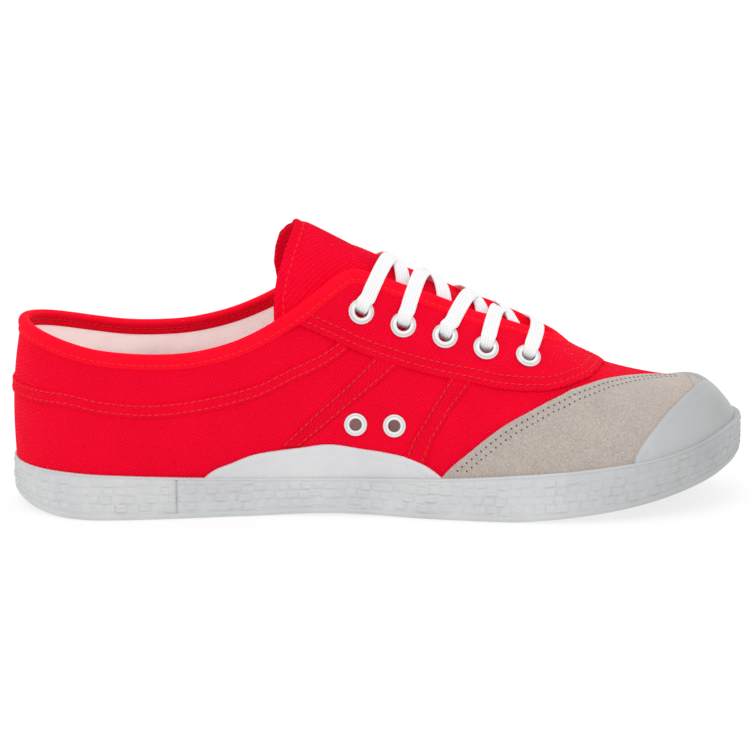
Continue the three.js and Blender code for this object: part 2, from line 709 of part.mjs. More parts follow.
function ribbon(path) {
  const half = LACE_WIDTH / 2;
  const loops = path.map(([x, way, out]) => [
    roundPoint(x - half, way, out), roundPoint(x + half, way, out),
    roundPoint(x + half, way, out + LACE_THICK), roundPoint(x - half, way, out + LACE_THICK),
  ]);
  const faces = [];
  const count = 4;
  loops.slice(1).forEach((_, row) => {
    for (let i = 0; i < count; i += 1) {
      const a = row * count + i;
      const b = row * count + (i + 1) % count;
      faces.push([a, b + count, b], [a, a + count, b + count]);
    }
  });
  const end = (loops.length - 1) * count;
  faces.push([0, 1, 2], [0, 2, 3], [end, end + 2, end + 1], [end, end + 3, end + 2]);
  return solidFrom(loops.flat(), faces);
}

const LACE_STEPS = 10;
const LACE_CLEAR = 0.5;
const LACE_OVER = EYESTAY_OUT + LACE_CLEAR;
const LACE_UNDER = TONGUE_OUT + LACE_CLEAR;
const RIM_CLEAR = EYELET_OUTER + 3 * GAP;
const EDGE_CLEAR = 1.4;

// How far each row's ribbons have run to the next row at the middle line, inner and outer side
const LACE_MEET = [[0.80, 0.95], [0.60, 0.95], [0.78, 0.92], [0.45, 0.75]];
const BAR_BOW = 0.017 * LENGTH;
const bowed = (share, meet) => share + 4 * (meet - 0.5) * share * (1 - share);

// One ribbon from the eyelet of a row on one side to the next row on the other side
function crossRibbon(row, side) {
  const [x0, z0] = EYELETS[row];
  const [x1, z1] = EYELETS[row + 1];
  const first = turnAt(x0, z0);
  const whole = 2 - first - turnAt(x1, z1);
  const start = stepOn(x0, side, first, RIM_CLEAR, EYESTAY_OUT);
  const leave = throatEdge(x0, side, first);
  const stop = 2 - stepOn(x1, -side, throatEdge(x1, -side, turnAt(x1, z1)), EDGE_CLEAR, 0);
  const meet = LACE_MEET[row][side < 0 ? 0 : 1];
  const path = along(start, stop, LACE_STEPS).map((way) => {
    const x = x0 + (x1 - x0) * bowed((way - first) / whole, meet);
    const down = Math.min(Math.max((way - leave) / (stop - leave), 0), 1);
    return [x, side < 0 ? way : 2 - way, LACE_OVER + (LACE_UNDER - LACE_OVER) * down];
  });
  return ribbon(side < 0 ? path : path.reverse());
}

function buildBar(row) {
  const [x, z] = EYELETS[row];
  const low = turnAt(x, z);
  const [from, to] = [-1, 1].map((side) => stepOn(x, side, low, RIM_CLEAR, EYESTAY_OUT));
  const bow = (way) => BAR_BOW * Math.sin(Math.PI * (way - low) / (2 - 2 * low));
  return ribbon(along(from, 2 - to, LACE_STEPS).map((way) => [x + bow(way), way, LACE_OVER]));
}

const pieces = [
  ['upper', buildUpper(), 0xd8102c, 0.9, 0],
  ['eyestay', buildEyestay(), 0xd8102c, 0.9, 0],
  ['tongue', buildTongue(), 0xd8102c, 0.9, 0],
  ['mudguard', buildMudguard(), 0xbdb4a7, 0.95, 0],
  ['toe_cap', buildToeCap(), 0xd9dadb, 0.55, 0],
  ['side_guard', buildGuard(), 0xd9dadb, 0.55, 0],
  ['foxing', buildFoxing(), 0xd4d6d8, 0.6, 0],
  ['outsole', buildOutsole(), 0xcfd1d3, 0.7, 0],
  ['insole', buildInsole(), 0xe8d9d6, 0.9, 0],
];
for (const side of [-1, 1]) {
  const word = side < 0 ? 'inner' : 'outer';
  EYELETS.forEach(([x, z], i) => {
    const eyelet = buildEyelet(x, z, side, EYESTAY_OUT, 1, EYELET_DEEP);
    pieces.push([`eyelet_${word}_${i + 1}`, eyelet, 0xd9d9d6, 0.35, 0.6]);
  });
}
VENTS.forEach(([x, z], i) => {
  const eyelet = buildEyelet(x, z, -1, 0, VENT_SCALE, EYELET_DEEP - PLY);
  pieces.push([`vent_eyelet_${i + 1}`, eyelet, 0xd9d9d6, 0.35, 0.6]);
});
EYELETS.slice(0, -1).forEach((_, row) => {
  const cross = crossRibbon(row, -1).add(crossRibbon(row, 1));
  pieces.push([`lace_cross_${row + 1}`, cross, 0xf4f4f4, 0.85, 0]);
});
pieces.push([`lace_bar_${EYELETS.length}`, buildBar(EYELETS.length - 1), 0xf4f4f4, 0.85, 0]);

const shoe = new THREE.Group();
const box = new THREE.Box3();
const meshes = pieces.map(([name, solid, color, roughness, metalness]) => {
  const { vertProperties, triVerts } = solid.getMesh();
  const geometry = new THREE.BufferGeometry();
  geometry.setAttribute('position', new THREE.BufferAttribute(new Float32Array(vertProperties), 3));
  geometry.setIndex(Array.from(triVerts));
  geometry.computeBoundingBox();
  box.union(geometry.boundingBox);
  const mesh = new THREE.Mesh(geometry, new THREE.MeshStandardMaterial({ color, roughness, metalness }));
  mesh.name = name;
  return mesh;
});
const middle = box.getCenter(new THREE.Vector3());
meshes.forEach((mesh) => {
  mesh.geometry.translate(-middle.x, -middle.y, -box.min.z);
  mesh.geometry.computeVertexNormals();
  shoe.add(mesh);
});

export default shoe;
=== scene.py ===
"""Looks of a low canvas sneaker, left shoe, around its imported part."""

import math

import bpy
import numpy as np
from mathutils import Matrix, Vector
from mathutils.kdtree import KDTree


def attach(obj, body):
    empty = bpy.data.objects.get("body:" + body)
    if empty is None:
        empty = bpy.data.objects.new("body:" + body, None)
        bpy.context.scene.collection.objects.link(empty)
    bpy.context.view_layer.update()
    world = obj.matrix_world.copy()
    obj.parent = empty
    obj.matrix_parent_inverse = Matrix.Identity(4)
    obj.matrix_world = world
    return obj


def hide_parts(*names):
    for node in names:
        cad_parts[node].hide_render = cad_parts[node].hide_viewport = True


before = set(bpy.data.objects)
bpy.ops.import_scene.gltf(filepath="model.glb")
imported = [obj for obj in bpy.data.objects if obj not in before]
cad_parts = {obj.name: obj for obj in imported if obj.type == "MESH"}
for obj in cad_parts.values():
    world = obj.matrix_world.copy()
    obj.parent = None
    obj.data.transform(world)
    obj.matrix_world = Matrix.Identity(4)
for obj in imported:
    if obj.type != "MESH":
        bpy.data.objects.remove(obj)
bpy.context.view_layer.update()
scene = bpy.context.scene

# Driving sizes, in millimetres: X from heel to toe, Y to the outer side, Z up
LENGTH = 285
BALL = 101
HEEL = 72
INSTEP = 120
BACK = 75.5
SOLE = 19
SPRING = 16.5
WALL = 2
PLY = 0.9
STEP = 0.7
GAP = 0.3
PLATE = 5
FEATHER = 6
INSOLE = 4
PLATE_INSET = 8
CAP_THICK = 1.8
SUEDE_THICK = 1.1
GUARD_THICK = 1.2
EYELET_OUTER = 5
EYELET_HOLE = 2.45
VENT_SCALE = 0.89
LACE_WIDTH = 6.0
LACE_THICK = 1.1
HEEL_AXIS = 0.133 * LENGTH
TOE_FROM = 0.7 * LENGTH
TOE_POWER = 2.3
FRONT_FROM = 0.92 * LENGTH
FRONT_POWER = 2.7
MM = 0.001


# The last, as in the part's source
def curve(rows, column=1):
    """Smooth curve through the rows of a table, level wherever two rows are equal."""
    xs = np.array([row[0] for row in rows], float)
    ys = np.array([row[column] for row in rows], float)
    rise = np.diff(ys) / np.diff(xs)
    slope = np.empty(len(xs))
    slope[0] = rise[0]
    slope[-1] = rise[-1]
    for i in range(1, len(xs) - 1):
        before = xs[i] - xs[i - 1]
        after = xs[i + 1] - xs[i]
        level = rise[i - 1] == 0 or rise[i] == 0
        slope[i] = 0 if level else (rise[i - 1] * after + rise[i] * before) / (before + after)

    def at(x):
        x = np.clip(np.asarray(x, float), xs[0], xs[-1])
        i = np.clip(np.searchsorted(xs, x, side="left") - 1, 0, len(xs) - 2)
        h = xs[i + 1] - xs[i]
        t = (x - xs[i]) / h
        s = 1 - t
        rising = t * s * s * h * slope[i] - t * t * s * h * slope[i + 1]
        return (1 + 2 * t) * s * s * ys[i] + t * t * (3 - 2 * t) * ys[i + 1] + rising

    return at


def scaled(rows, *sizes):
    """Rows whose first column is a share of the length, the others shares of the given sizes."""
    return [[row[0] * LENGTH] + [v * s for v, s in zip(row[1:], sizes)] for row in rows]


HEEL_SHARE = HEEL / BALL
PLAN = scaled([
    [0.00, 0.50 * HEEL_SHARE, 0.50 * HEEL_SHARE, 0], [0.14, 0.50 * HEEL_SHARE, 0.50 * HEEL_SHARE, 0],
    [0.22, 0.49 * HEEL_SHARE, 0.525 * HEEL_SHARE, 0], [0.32, 0.46 * HEEL_SHARE, 0.565 * HEEL_SHARE, 0],
    [0.41, 0.47 * HEEL_SHARE, 0.425, 0], [0.49, 0.51 * HEEL_SHARE, 0.455, -0.003],
    [0.58, 0.425, 0.487, -0.01], [0.66, 0.465, 0.507, -0.02], [0.73, 0.482, 0.502, -0.032],
    [0.81, 0.480, 0.477, -0.05], [1.00, 0.470, 0.440, -0.084],
], BALL, BALL, BALL)
inner_width = curve(PLAN, 1)
outer_width = curve(PLAN, 2)
swing = curve(PLAN, 3)
bottom = curve(scaled([
    [0.00, 0.15], [0.035, 0.03], [0.085, 0], [0.31, 0], [0.43, 0.05], [0.555, 0], [0.665, 0],
    [0.70, 0.035], [0.74, 0.10], [0.785, 0.19], [0.84, 0.325], [0.885, 0.46], [0.92, 0.585],
    [0.95, 0.715], [0.98, 0.88], [1.00, 1.0],
], SPRING))
foxing_top = curve(scaled([
    [0.00, 1.0], [0.05, 1.0], [0.12, 0.97], [0.19, 0.91], [0.26, 0.855], [0.33, 0.81], [0.39, 0.80],
    [0.46, 0.805], [0.52, 0.83], [0.58, 0.88], [0.68, 1.0], [0.78, 1.13], [0.84, 1.215], [0.88, 1.30],
    [0.92, 1.43], [0.95, 1.56], [0.975, 1.68], [1.00, 1.75],
], SOLE))
foxing_round = curve(scaled([
    [0.00, 0.28], [0.03, 0.24], [0.10, 0.14], [0.80, 0.14], [0.93, 0.24], [1.00, 0.28],
], SOLE))
ridge = curve(scaled([
    [0.00, 0.99], [0.37, 0.975], [0.42, 0.915], [0.525, 0.785], [0.60, 0.703], [0.675, 0.612],
    [0.73, 0.538], [0.80, 0.447], [0.87, 0.400], [0.93, 0.383], [1.00, 0.38],
], INSTEP))
inset = curve(scaled([
    [0, 0.084], [0.15, 0.126], [0.4, 0.158], [0.6, 0.168], [0.8, 0.19], [1, 0.242],
], SOLE))
SECTION = scaled([
    [0.00, 3.2, 2.2, 0.084], [0.13, 2.4, 2.1, 0.084], [0.30, 2.3, 2.1, 0.08], [0.38, 1.85, 2.1, 0.08],
    [0.46, 1.38, 2.0, 0.09], [0.56, 1.32, 1.95, 0.11], [0.68, 1.52, 2.0, 0.13], [0.80, 1.95, 2.2, 0.105],
    [0.90, 2.3, 2.3, 0.05], [1.00, 2.4, 2.4, 0],
], 1, 1, SOLE)
height_power = curve(SECTION, 1)
width_power = curve(SECTION, 2)
swell = curve(SECTION, 3)


def footprint(x, side):
    behind = np.maximum(0, 1 - x / HEEL_AXIS)
    ahead = np.maximum(0, (x - TOE_FROM) / (LENGTH - TOE_FROM))
    blunt = np.sqrt(np.maximum(0, 1 - behind**2)) * np.sqrt(np.maximum(0, 1 - ahead**TOE_POWER))
    return swing(x) + side * blunt * (inner_width(x) if side < 0 else outer_width(x))


def stations(start, stop, count):
    """Places from one end to the other, closer together at both ends."""
    return start + (stop - start) * (1 - np.cos(np.pi * np.arange(count + 1) / count)) / 2


def loop_normals(loop):
    go = np.roll(loop, -1, 0) - np.roll(loop, 1, 0)
    go /= np.linalg.norm(go, axis=1)[:, None]
    return np.stack([-go[:, 1], go[:, 0]], 1)


LINE_COUNT = 900
LINE_X = stations(0, LENGTH, LINE_COUNT)
OUTLINE = np.concatenate([
    np.stack([LINE_X, footprint(LINE_X, -1)], 1),
    np.stack([LINE_X, footprint(LINE_X, 1)], 1)[1:-1][::-1],
])
LAST_LOOP = OUTLINE + loop_normals(OUTLINE) * inset(OUTLINE[:, 0])[:, None]
LAST_INNER = LAST_LOOP[: LINE_COUNT + 1]
LAST_OUTER = np.concatenate([LAST_LOOP[:1], LAST_LOOP[LINE_COUNT:][::-1]])
BACK_X = LAST_INNER[0, 0]
FRONT_X = LAST_INNER[-1, 0]
SWELL_TOP = 0.62
SWELL_FULL = 0.28 * HEEL


def last_point(x, way):
    """Point of the last: way runs from 0 at the inner sole edge over 1 on the middle line to 2."""
    x, way = np.broadcast_arrays(np.asarray(x, float), np.asarray(way, float))
    turn = np.where(way < 1, way, 2 - way)
    angle = turn * np.pi / 2
    h = np.clip(np.sin(angle), 0, 1) ** (2 / height_power(x))
    r = np.where(turn >= 1, 0, np.clip(np.cos(angle), 0, 1)) ** (2 / width_power(x))
    low = bottom(x) + FEATHER
    top = ridge(np.maximum(x, HEEL_AXIS))
    ahead = np.clip((x - FRONT_FROM) / (FRONT_X - FRONT_FROM), 0, 1)
    rise = (top - low) * np.sqrt(np.maximum(0, 1 - ahead**FRONT_POWER))
    inner_y = np.interp(x, LAST_INNER[:, 0], LAST_INNER[:, 1])
    outer_y = np.interp(x, LAST_OUTER[:, 0], LAST_OUTER[:, 1])
    middle_x = np.maximum(x, HEEL_AXIS)
    middle_y = np.where(x < HEEL_AXIS, 0, swing(x))
    dx = x - middle_x
    dy = np.where(way < 1, inner_y, outer_y) - middle_y
    reach = np.maximum(np.hypot(dx, dy), 1e-6)
    lift = np.where(h < SWELL_TOP, np.sin(np.pi * h / SWELL_TOP), 0)
    spread = r + swell(x) * lift * np.minimum(reach / SWELL_FULL, 1) / reach
    return np.stack([middle_x + dx * spread, middle_y + dy * spread, low + rise * h], -1)


NUDGE = 0.25
TURN_NUDGE = 0.003


def unit(v):
    return v / np.maximum(np.linalg.norm(v, axis=-1, keepdims=True), 1e-12)


def arc_along(points):
    """Distance covered at each point of a line."""
    return np.concatenate([[0], np.cumsum(np.linalg.norm(np.diff(points, axis=0), axis=1))])


def taken(points, arc, at):
    """Points of a line at distances along it."""
    return np.stack([np.interp(at, arc, column) for column in points.T], 1)


def bell(value, width):
    """1 at zero, fading over a width on both sides."""
    return np.exp(-((value / width) ** 2))


def eased(share):
    return share * share * (3 - 2 * share)


def slowing(start, stop, count):
    """Places that close up toward the stop."""
    return start + (stop - start) * np.sin(np.linspace(0, np.pi / 2, count))


def outward(x, way):
    """Direction square to the last."""
    x, way = np.broadcast_arrays(np.asarray(x, float), np.asarray(way, float))
    ahead_x = np.minimum(x + NUDGE, FRONT_X)
    behind_x = np.maximum(x - NUDGE, BACK_X)
    ahead = last_point(ahead_x, way)
    behind = last_point(behind_x, way)
    along = np.where((x < BACK_X + NUDGE)[..., None], ahead - last_point(ahead_x, 2 - way), ahead - behind)
    along = np.where((x > FRONT_X - NUDGE)[..., None], last_point(behind_x, 2 - way) - behind, along)
    across = last_point(x, np.minimum(way + TURN_NUDGE, 2)) - last_point(x, np.maximum(way - TURN_NUDGE, 0))
    return unit(np.cross(along, across))


def skin(x, way, out):
    """Point a distance outward of the last."""
    return last_point(x, way) + outward(x, way) * np.asarray(out, float)[..., None]


# Edges of the overlays, close to those in the part's source
collar = curve(scaled([
    [0.00, 1.0], [0.04, 0.955], [0.12, 0.882], [0.185, 0.857], [0.255, 0.868], [0.31, 0.92],
    [0.36, 1.01], [0.39, 1.08], [0.43, 1.185], [0.452, 1.235], [0.50, 1.25],
], BACK))
COLLAR_END = 0.452 * LENGTH
THROAT_TO = 0.742 * LENGTH
throat = curve(scaled([
    [0.40, 0.168], [0.446, 0.144], [0.471, 0.127], [0.50, 0.121], [0.54, 0.122], [0.60, 0.127],
    [0.63, 0.130], [0.66, 0.116], [0.70, 0.09], [0.725, 0.06], [0.737, 0.033], [0.742, 0],
], BALL))
EYESTAY_OUT = GAP + PLY
EYELETS = scaled([[0.473, 0.645], [0.530, 0.601], [0.586, 0.566], [0.641, 0.528], [0.698, 0.498]], INSTEP)
VENTS = scaled([[0.463, 0.2975], [0.515, 0.295]], INSTEP)
EYESTAY_BACK = 0.352 * LENGTH
EYESTAY_TURN = 0.695 * LENGTH
EYESTAY_FRONT = 0.813 * LENGTH
eyestay_low = curve(scaled([
    [0.34, 0.665], [0.37, 0.632], [0.41, 0.592], [0.44, 0.557], [0.46, 0.534], [0.502, 0.497],
    [0.543, 0.469], [0.584, 0.4475], [0.618, 0.434], [0.655, 0.416], [0.695, 0.4065],
], INSTEP))
eyestay_round = curve([[0, 1], [0.31, 0.955], [0.59, 0.80], [0.815, 0.54], [0.93, 0.26], [1, 0]])
SUEDE_BACK = 0.575 * LENGTH
SUEDE_TURN = 0.751 * LENGTH
SUEDE_FRONT = 0.93 * LENGTH
SUEDE_LEAN = 0.084 * BALL
suede_top = curve(scaled([
    [0.56, 0.085], [0.581, 0.153], [0.614, 0.226], [0.655, 0.301], [0.702, 0.358], [0.751, 0.405],
], INSTEP))
suede_inner = curve([
    [0, 1], [0.13, 0.87], [0.27, 0.69], [0.40, 0.53], [0.55, 0.35], [0.69, 0.20], [0.82, 0.115],
    [0.91, 0.05], [1, 0],
])
suede_outer = curve([
    [0, 1], [0.17, 0.94], [0.345, 0.86], [0.53, 0.75], [0.71, 0.60], [0.88, 0.38], [1, 0],
])
CAP_BACK = 0.949 * LENGTH
CAP_SWEEP = 0.112 * LENGTH
CAP_SPREAD = 0.396 * BALL
CAP_POWER = 1.4
guard_top = curve(scaled([
    [0.245, 0.10], [0.262, 0.143], [0.297, 0.181], [0.322, 0.203], [0.354, 0.216], [0.39, 0.226],
    [0.426, 0.235], [0.472, 0.22], [0.503, 0.21], [0.534, 0.195], [0.559, 0.17], [0.579, 0.135],
    [0.60, 0.09],
], INSTEP))
GUARD_FROM = 0.245 * LENGTH
GUARD_TO = 0.60 * LENGTH
strip_low = curve(scaled([
    [0.00, 0.592], [0.067, 0.592], [0.12, 0.557], [0.186, 0.532], [0.253, 0.552], [0.293, 0.578],
    [0.335, 0.62], [0.376, 0.69], [0.42, 0.76], [0.46, 0.85],
], BACK))
STRIP = 0.075 * BACK

# Places found on the last; turns run a little past the middle line
TURNS = 379
TURN_END = 1.35
TURN_ROW = np.linspace(0, TURN_END, TURNS)


def ways_of(side, turn):
    return turn if side < 0 else 2 - turn


def section_arc(xs, side):
    """Length along whole half sections."""
    points = last_point(xs[:, None], ways_of(side, TURN_ROW)[None, :])
    steps = np.linalg.norm(np.diff(points, axis=1), axis=2)
    return np.concatenate([np.zeros((len(xs), 1)), np.cumsum(steps, axis=1)], axis=1)


def crossing(values):
    """Column at which each row's values first rise through zero, and whether they do."""
    above = values > 0
    i = np.clip(np.argmax(above, axis=1), 1, values.shape[1] - 1)
    row = np.arange(len(values))
    a = values[row, i - 1]
    b = values[row, i]
    column = i - 1 + np.clip(-a / np.where(b == a, 1, b - a), 0, 1)
    return np.where(above[:, 0], 0, column), above.any(axis=1)


def edge_of(level, out=0.0, otherwise=1.0):
    """An edge: for stations and a side it gives the turns where a level is reached."""

    def find(xs, side):
        height = out(xs)[:, None] if callable(out) else out
        ways = ways_of(side, TURN_ROW)[None, :]
        column, found = crossing(level(skin(xs[:, None], ways, height * np.ones((len(xs), TURNS)))))
        return np.where(found, column * TURN_END / (TURNS - 1), otherwise)

    return find


def above(line, lift=0.0, out=0.0):
    """Where the sections reach a line of the side view."""
    return edge_of(lambda points: points[..., 2] - line(points[..., 0]) - lift, out)


FOOT_TUCK = 1.6
foot = edge_of(lambda points: points[..., 2] - foxing_top(points[..., 0]) + FOOT_TUCK, 0.0, 0.0)


def half_width(x, line, out):
    """Half of the width where a line of the side view ends."""
    station = np.array([x])
    turn = above(line, out=out)(station, -1)
    return abs(skin(station, turn, [out])[0, 1] - swing(x))


def rounded(line, turn_x, front_x, shapes, out, lean=0.0):
    """A side view edge that closes ahead in a round front of the plan, one shape for each side."""
    half = half_width(turn_x, line, out)

    def level(points):
        x = points[..., 0]
        share = np.clip((x - turn_x) / (front_x - turn_x), 0, 1)
        off = points[..., 1] - swing(x) - lean * share**2
        width = np.where(off < 0, shapes[0](share), shapes[1](share))
        ahead = np.where(x < front_x, half * width - np.abs(off), -1)
        return np.where(x < turn_x, points[..., 2] - line(x), ahead)

    return edge_of(level, out)


def cap_level(points):
    """Above zero behind the cap's rear edge."""
    spread = np.abs((points[..., 1] - swing(CAP_BACK)) / CAP_SPREAD)
    return CAP_BACK - CAP_SWEEP * spread**CAP_POWER - points[..., 0]


below_cap = edge_of(cap_level, GAP + CAP_THICK)


def on_eyestay(x):
    """Share of the eyestay's height under the opening's edge."""
    return 1 / (1 + np.exp(-(x - 0.365 * LENGTH) / 1.5))


def opening_edge(margin):
    """Edge of the collar and the throat, or a line a margin below it."""

    def level(points):
        x = points[..., 0]
        by_collar = np.where(x < COLLAR_END + margin, points[..., 2] - collar(x) + margin, -1)
        off = np.abs(points[..., 1] - swing(x))
        inside = np.where(x < THROAT_TO + margin, throat(x) + margin - off, -1)
        by_throat = np.where(x > 0.40 * LENGTH, inside, -1)
        high = points[..., 2] > FEATHER + 0.5 * INSTEP
        return np.maximum(by_collar, np.where(high | (x > COLLAR_END), by_throat, -1))

    return edge_of(level, lambda xs: EYESTAY_OUT * on_eyestay(xs))


opening = opening_edge(0)
under_binding = opening_edge(2)


# Meshes
MIDDLE_Y = (footprint(LINE_X, -1).min() + footprint(LINE_X, 1).max()) / 2
SHIFT = np.array([-LENGTH / 2, -MIDDLE_Y, 0])


def to_row(points):
    return (points + SHIFT) * MM


def new_piece(name, points, faces, finish, slot, replaces=(), uv=None, weld=True, shell=0):
    """A mesh piece from points in the shoe's own millimetres."""
    mesh = bpy.data.meshes.new(name)
    mesh.from_pydata(to_row(points.reshape(-1, 3)).tolist(), [], faces)
    if uv is not None:
        layer = mesh.uv_layers.new(name="cloth")
        index = np.empty(len(mesh.loops), np.int32)
        mesh.loops.foreach_get("vertex_index", index)
        layer.data.foreach_set("uv", uv.reshape(-1, 2)[index].ravel())
    mesh.polygons.foreach_set("use_smooth", [True] * len(mesh.polygons))
    mesh.materials.append(finish)
    piece = bpy.data.objects.new(name, mesh)
    scene.collection.objects.link(piece)
    if weld:
        piece.modifiers.new("weld", "WELD").merge_threshold = 0.02 * MM
    if shell:
        thickness = piece.modifiers.new("thickness", "SOLIDIFY")
        thickness.thickness = shell * MM
        thickness.offset = -1
    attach(piece, "root")
    if replaces:
        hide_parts(*replaces)


def new_sheets(name, sheets, finish, slot, **settings):
    """One piece from several grids, each with its faces and its cloth places."""
    grids, squares, places = zip(*sheets)
    starts = np.cumsum([0] + [grid.size // 3 for grid in grids])
    points = np.concatenate([grid.reshape(-1, 3) for grid in grids])
    faces = np.concatenate([part + start for part, start in zip(squares, starts)])
    uv = np.concatenate([part.reshape(-1, 2) for part in places])
    new_piece(name, points, faces.tolist(), finish, slot, uv=uv, **settings)


def grid_faces(rows, columns, closed=False):
    """Squares of a grid, listed row by row."""
    index = np.arange(rows * columns).reshape(rows, columns)
    if closed:
        index = np.concatenate([index, index[:, :1]], axis=1)
    return np.stack([index[:-1, :-1], index[:-1, 1:], index[1:, 1:], index[1:, :-1]], -1).reshape(-1, 4)


EDGE_ROWS = np.array([0, 0.12, 0.35, 0.7])
SEAM_AT = 3.6
TUCK = 0.15


def panel_ways(xs, side, low, high, spacing):
    """Ways of an even grid between two edges, with close rows at both edges."""
    arc = section_arc(xs, side)
    low_turn = low(xs, side)
    high_turn = np.maximum(high(xs, side), low_turn)
    start = np.array([np.interp(t, TURN_ROW, a) for t, a in zip(low_turn, arc)])
    stop = np.array([np.interp(t, TURN_ROW, a) for t, a in zip(high_turn, arc)])
    whole = stop - start
    close = EDGE_ROWS[None, :] * np.minimum(1, 0.3 * whole / EDGE_ROWS[-1])[:, None]
    count = max(int(whole.max() / spacing), 3)
    share = np.linspace(0, 1, count + 1)[None, 1:-1]
    inside = close[:, -1:] + (whole[:, None] - 2 * close[:, -1:]) * share
    rows = np.concatenate([close, inside, (whole[:, None] - close)[:, ::-1]], axis=1) + start[:, None]
    turns = np.array([np.interp(r, a, TURN_ROW) for r, a in zip(rows, arc)])
    return ways_of(side, turns), rows


def near(points, border):
    """Distance of each point to a border of close points."""
    tree = KDTree(len(border))
    for i, p in enumerate(border):
        tree.insert(p, i)
    tree.balance()
    flat = points.reshape(-1, 3)
    return np.array([tree.find(p)[2] for p in flat]).reshape(points.shape[:-1])


def dense(points, spacing=0.2):
    """The same line with close points."""
    arc = arc_along(points)
    return taken(points, arc, np.arange(0, arc[-1], spacing))


def edge_line(xs, side, edge):
    """A line on the last where an edge lies."""
    return last_point(xs, ways_of(side, edge(xs, side)))


def both_sides(xs, *edges):
    return [edge_line(xs, side, edge) for side in (-1, 1) for edge in edges]


def roll_off(distance, radius):
    """Height share of an edge rolled down over a radius."""
    return np.sqrt(np.clip(1 - (1 - np.clip(distance / radius, 0, 1)) ** 2, 0, 1))


def panel(name, xs, low, high, base, thick, spacing, finish, slot, borders=(), sides=(-1, 1), radius=0.6,
          relief=None, holes=(), replaces=(), shell=0.8):
    """A sheet that lies on the last between two edges."""
    border = dense(np.concatenate(borders)) if borders else None
    sheets = []
    for side in sides:
        ways, lengths = panel_ways(xs, side, low, high, spacing)
        x = np.broadcast_to(xs[:, None], ways.shape)
        bare = last_point(x, ways)
        out = np.full(ways.shape, base + thick, float)
        if border is not None:
            distance = near(bare, border)
            out = base - TUCK + (thick + TUCK) * roll_off(distance, radius)
            out = out - 0.14 * thick * bell(distance - SEAM_AT, 0.7)
        if relief is not None:
            out = out + relief(bare, side)
        faces = grid_faces(*ways.shape)[:, :: -side]
        middle = bare.reshape(-1, 3)[faces].mean(axis=1)
        for hole, size in holes:
            keep = np.linalg.norm(middle - hole, axis=1) > size
            faces = faces[keep]
            middle = middle[keep]
        uv = np.stack([x, lengths * -side + 200], -1)
        sheets.append((bare + outward(x, ways) * out[..., None], faces[:, ::-1], uv))
    new_sheets(name, sheets, finish, slot, replaces=replaces, shell=shell)


# Soft creases: heel end, toe end (shares of length and instep), width, depth
CREASES = [
    [(0.615, 0.34), (0.665, 0.385), 3.2, -0.55], [(0.64, 0.31), (0.70, 0.372), 3.6, 0.40],
    [(0.60, 0.28), (0.635, 0.345), 3.0, -0.35], [(0.475, 0.42), (0.505, 0.47), 2.8, -0.40],
    [(0.59, 0.36), (0.615, 0.425), 2.6, -0.35], [(0.405, 0.43), (0.43, 0.50), 3.0, -0.35],
    [(0.20, 0.25), (0.30, 0.21), 5.0, 0.35], [(0.16, 0.20), (0.27, 0.165), 3.5, -0.35],
    [(0.05, 0.30), (0.12, 0.25), 5.0, -0.40], [(0.07, 0.42), (0.19, 0.385), 3.5, 0.30],
    [(0.30, 0.44), (0.345, 0.50), 3.4, -0.30], [(0.505, 0.35), (0.55, 0.40), 4.2, 0.35],
]
INNER_CREASE = [(0.44, 0.20), (0.49, 0.245), 3.2, 0.25]


def crease_relief(points, side):
    """Troughs and ridges of the worn cloth."""
    total = 0.05 * ramp(points[..., 0], 0.82, 0.89)
    for start, stop, width, depth in CREASES + [INNER_CREASE] * (side < 0):
        a = np.array(start) * [LENGTH, INSTEP]
        go = np.array(stop) * [LENGTH, INSTEP] - a
        span = np.linalg.norm(go)
        place = points[..., [0, 2]] - a
        share = place @ go / span**2
        off = (place[..., 0] * go[1] - place[..., 1] * go[0]) / span
        bow = 0.8 * np.sin(np.pi * np.clip(share, 0, 1))
        fade = bell(np.maximum(np.abs(share - 0.5) - 0.32, 0), 0.2)
        total += depth * bell(off - bow, width) * fade
    return total


def ramp(x, start, stop):
    """Smooth rise from 0 to 1 between two shares of the length."""
    return eased(np.clip((x / LENGTH - start) / (stop - start), 0, 1))


def side_place(x, z, side):
    """Way of a place in the side view, ahead of the heel's axis."""
    low = bottom(x) + FEATHER
    top = ridge(np.maximum(x, HEEL_AXIS))
    h = np.clip((z - low) / (top - low), 0, 1)
    turn = np.arcsin(h ** (height_power(x) / 2)) * 2 / np.pi
    return ways_of(side, turn)


def hole_places(rows, side):
    return [last_point(x, side_place(x, z, side)) for x, z in rows]


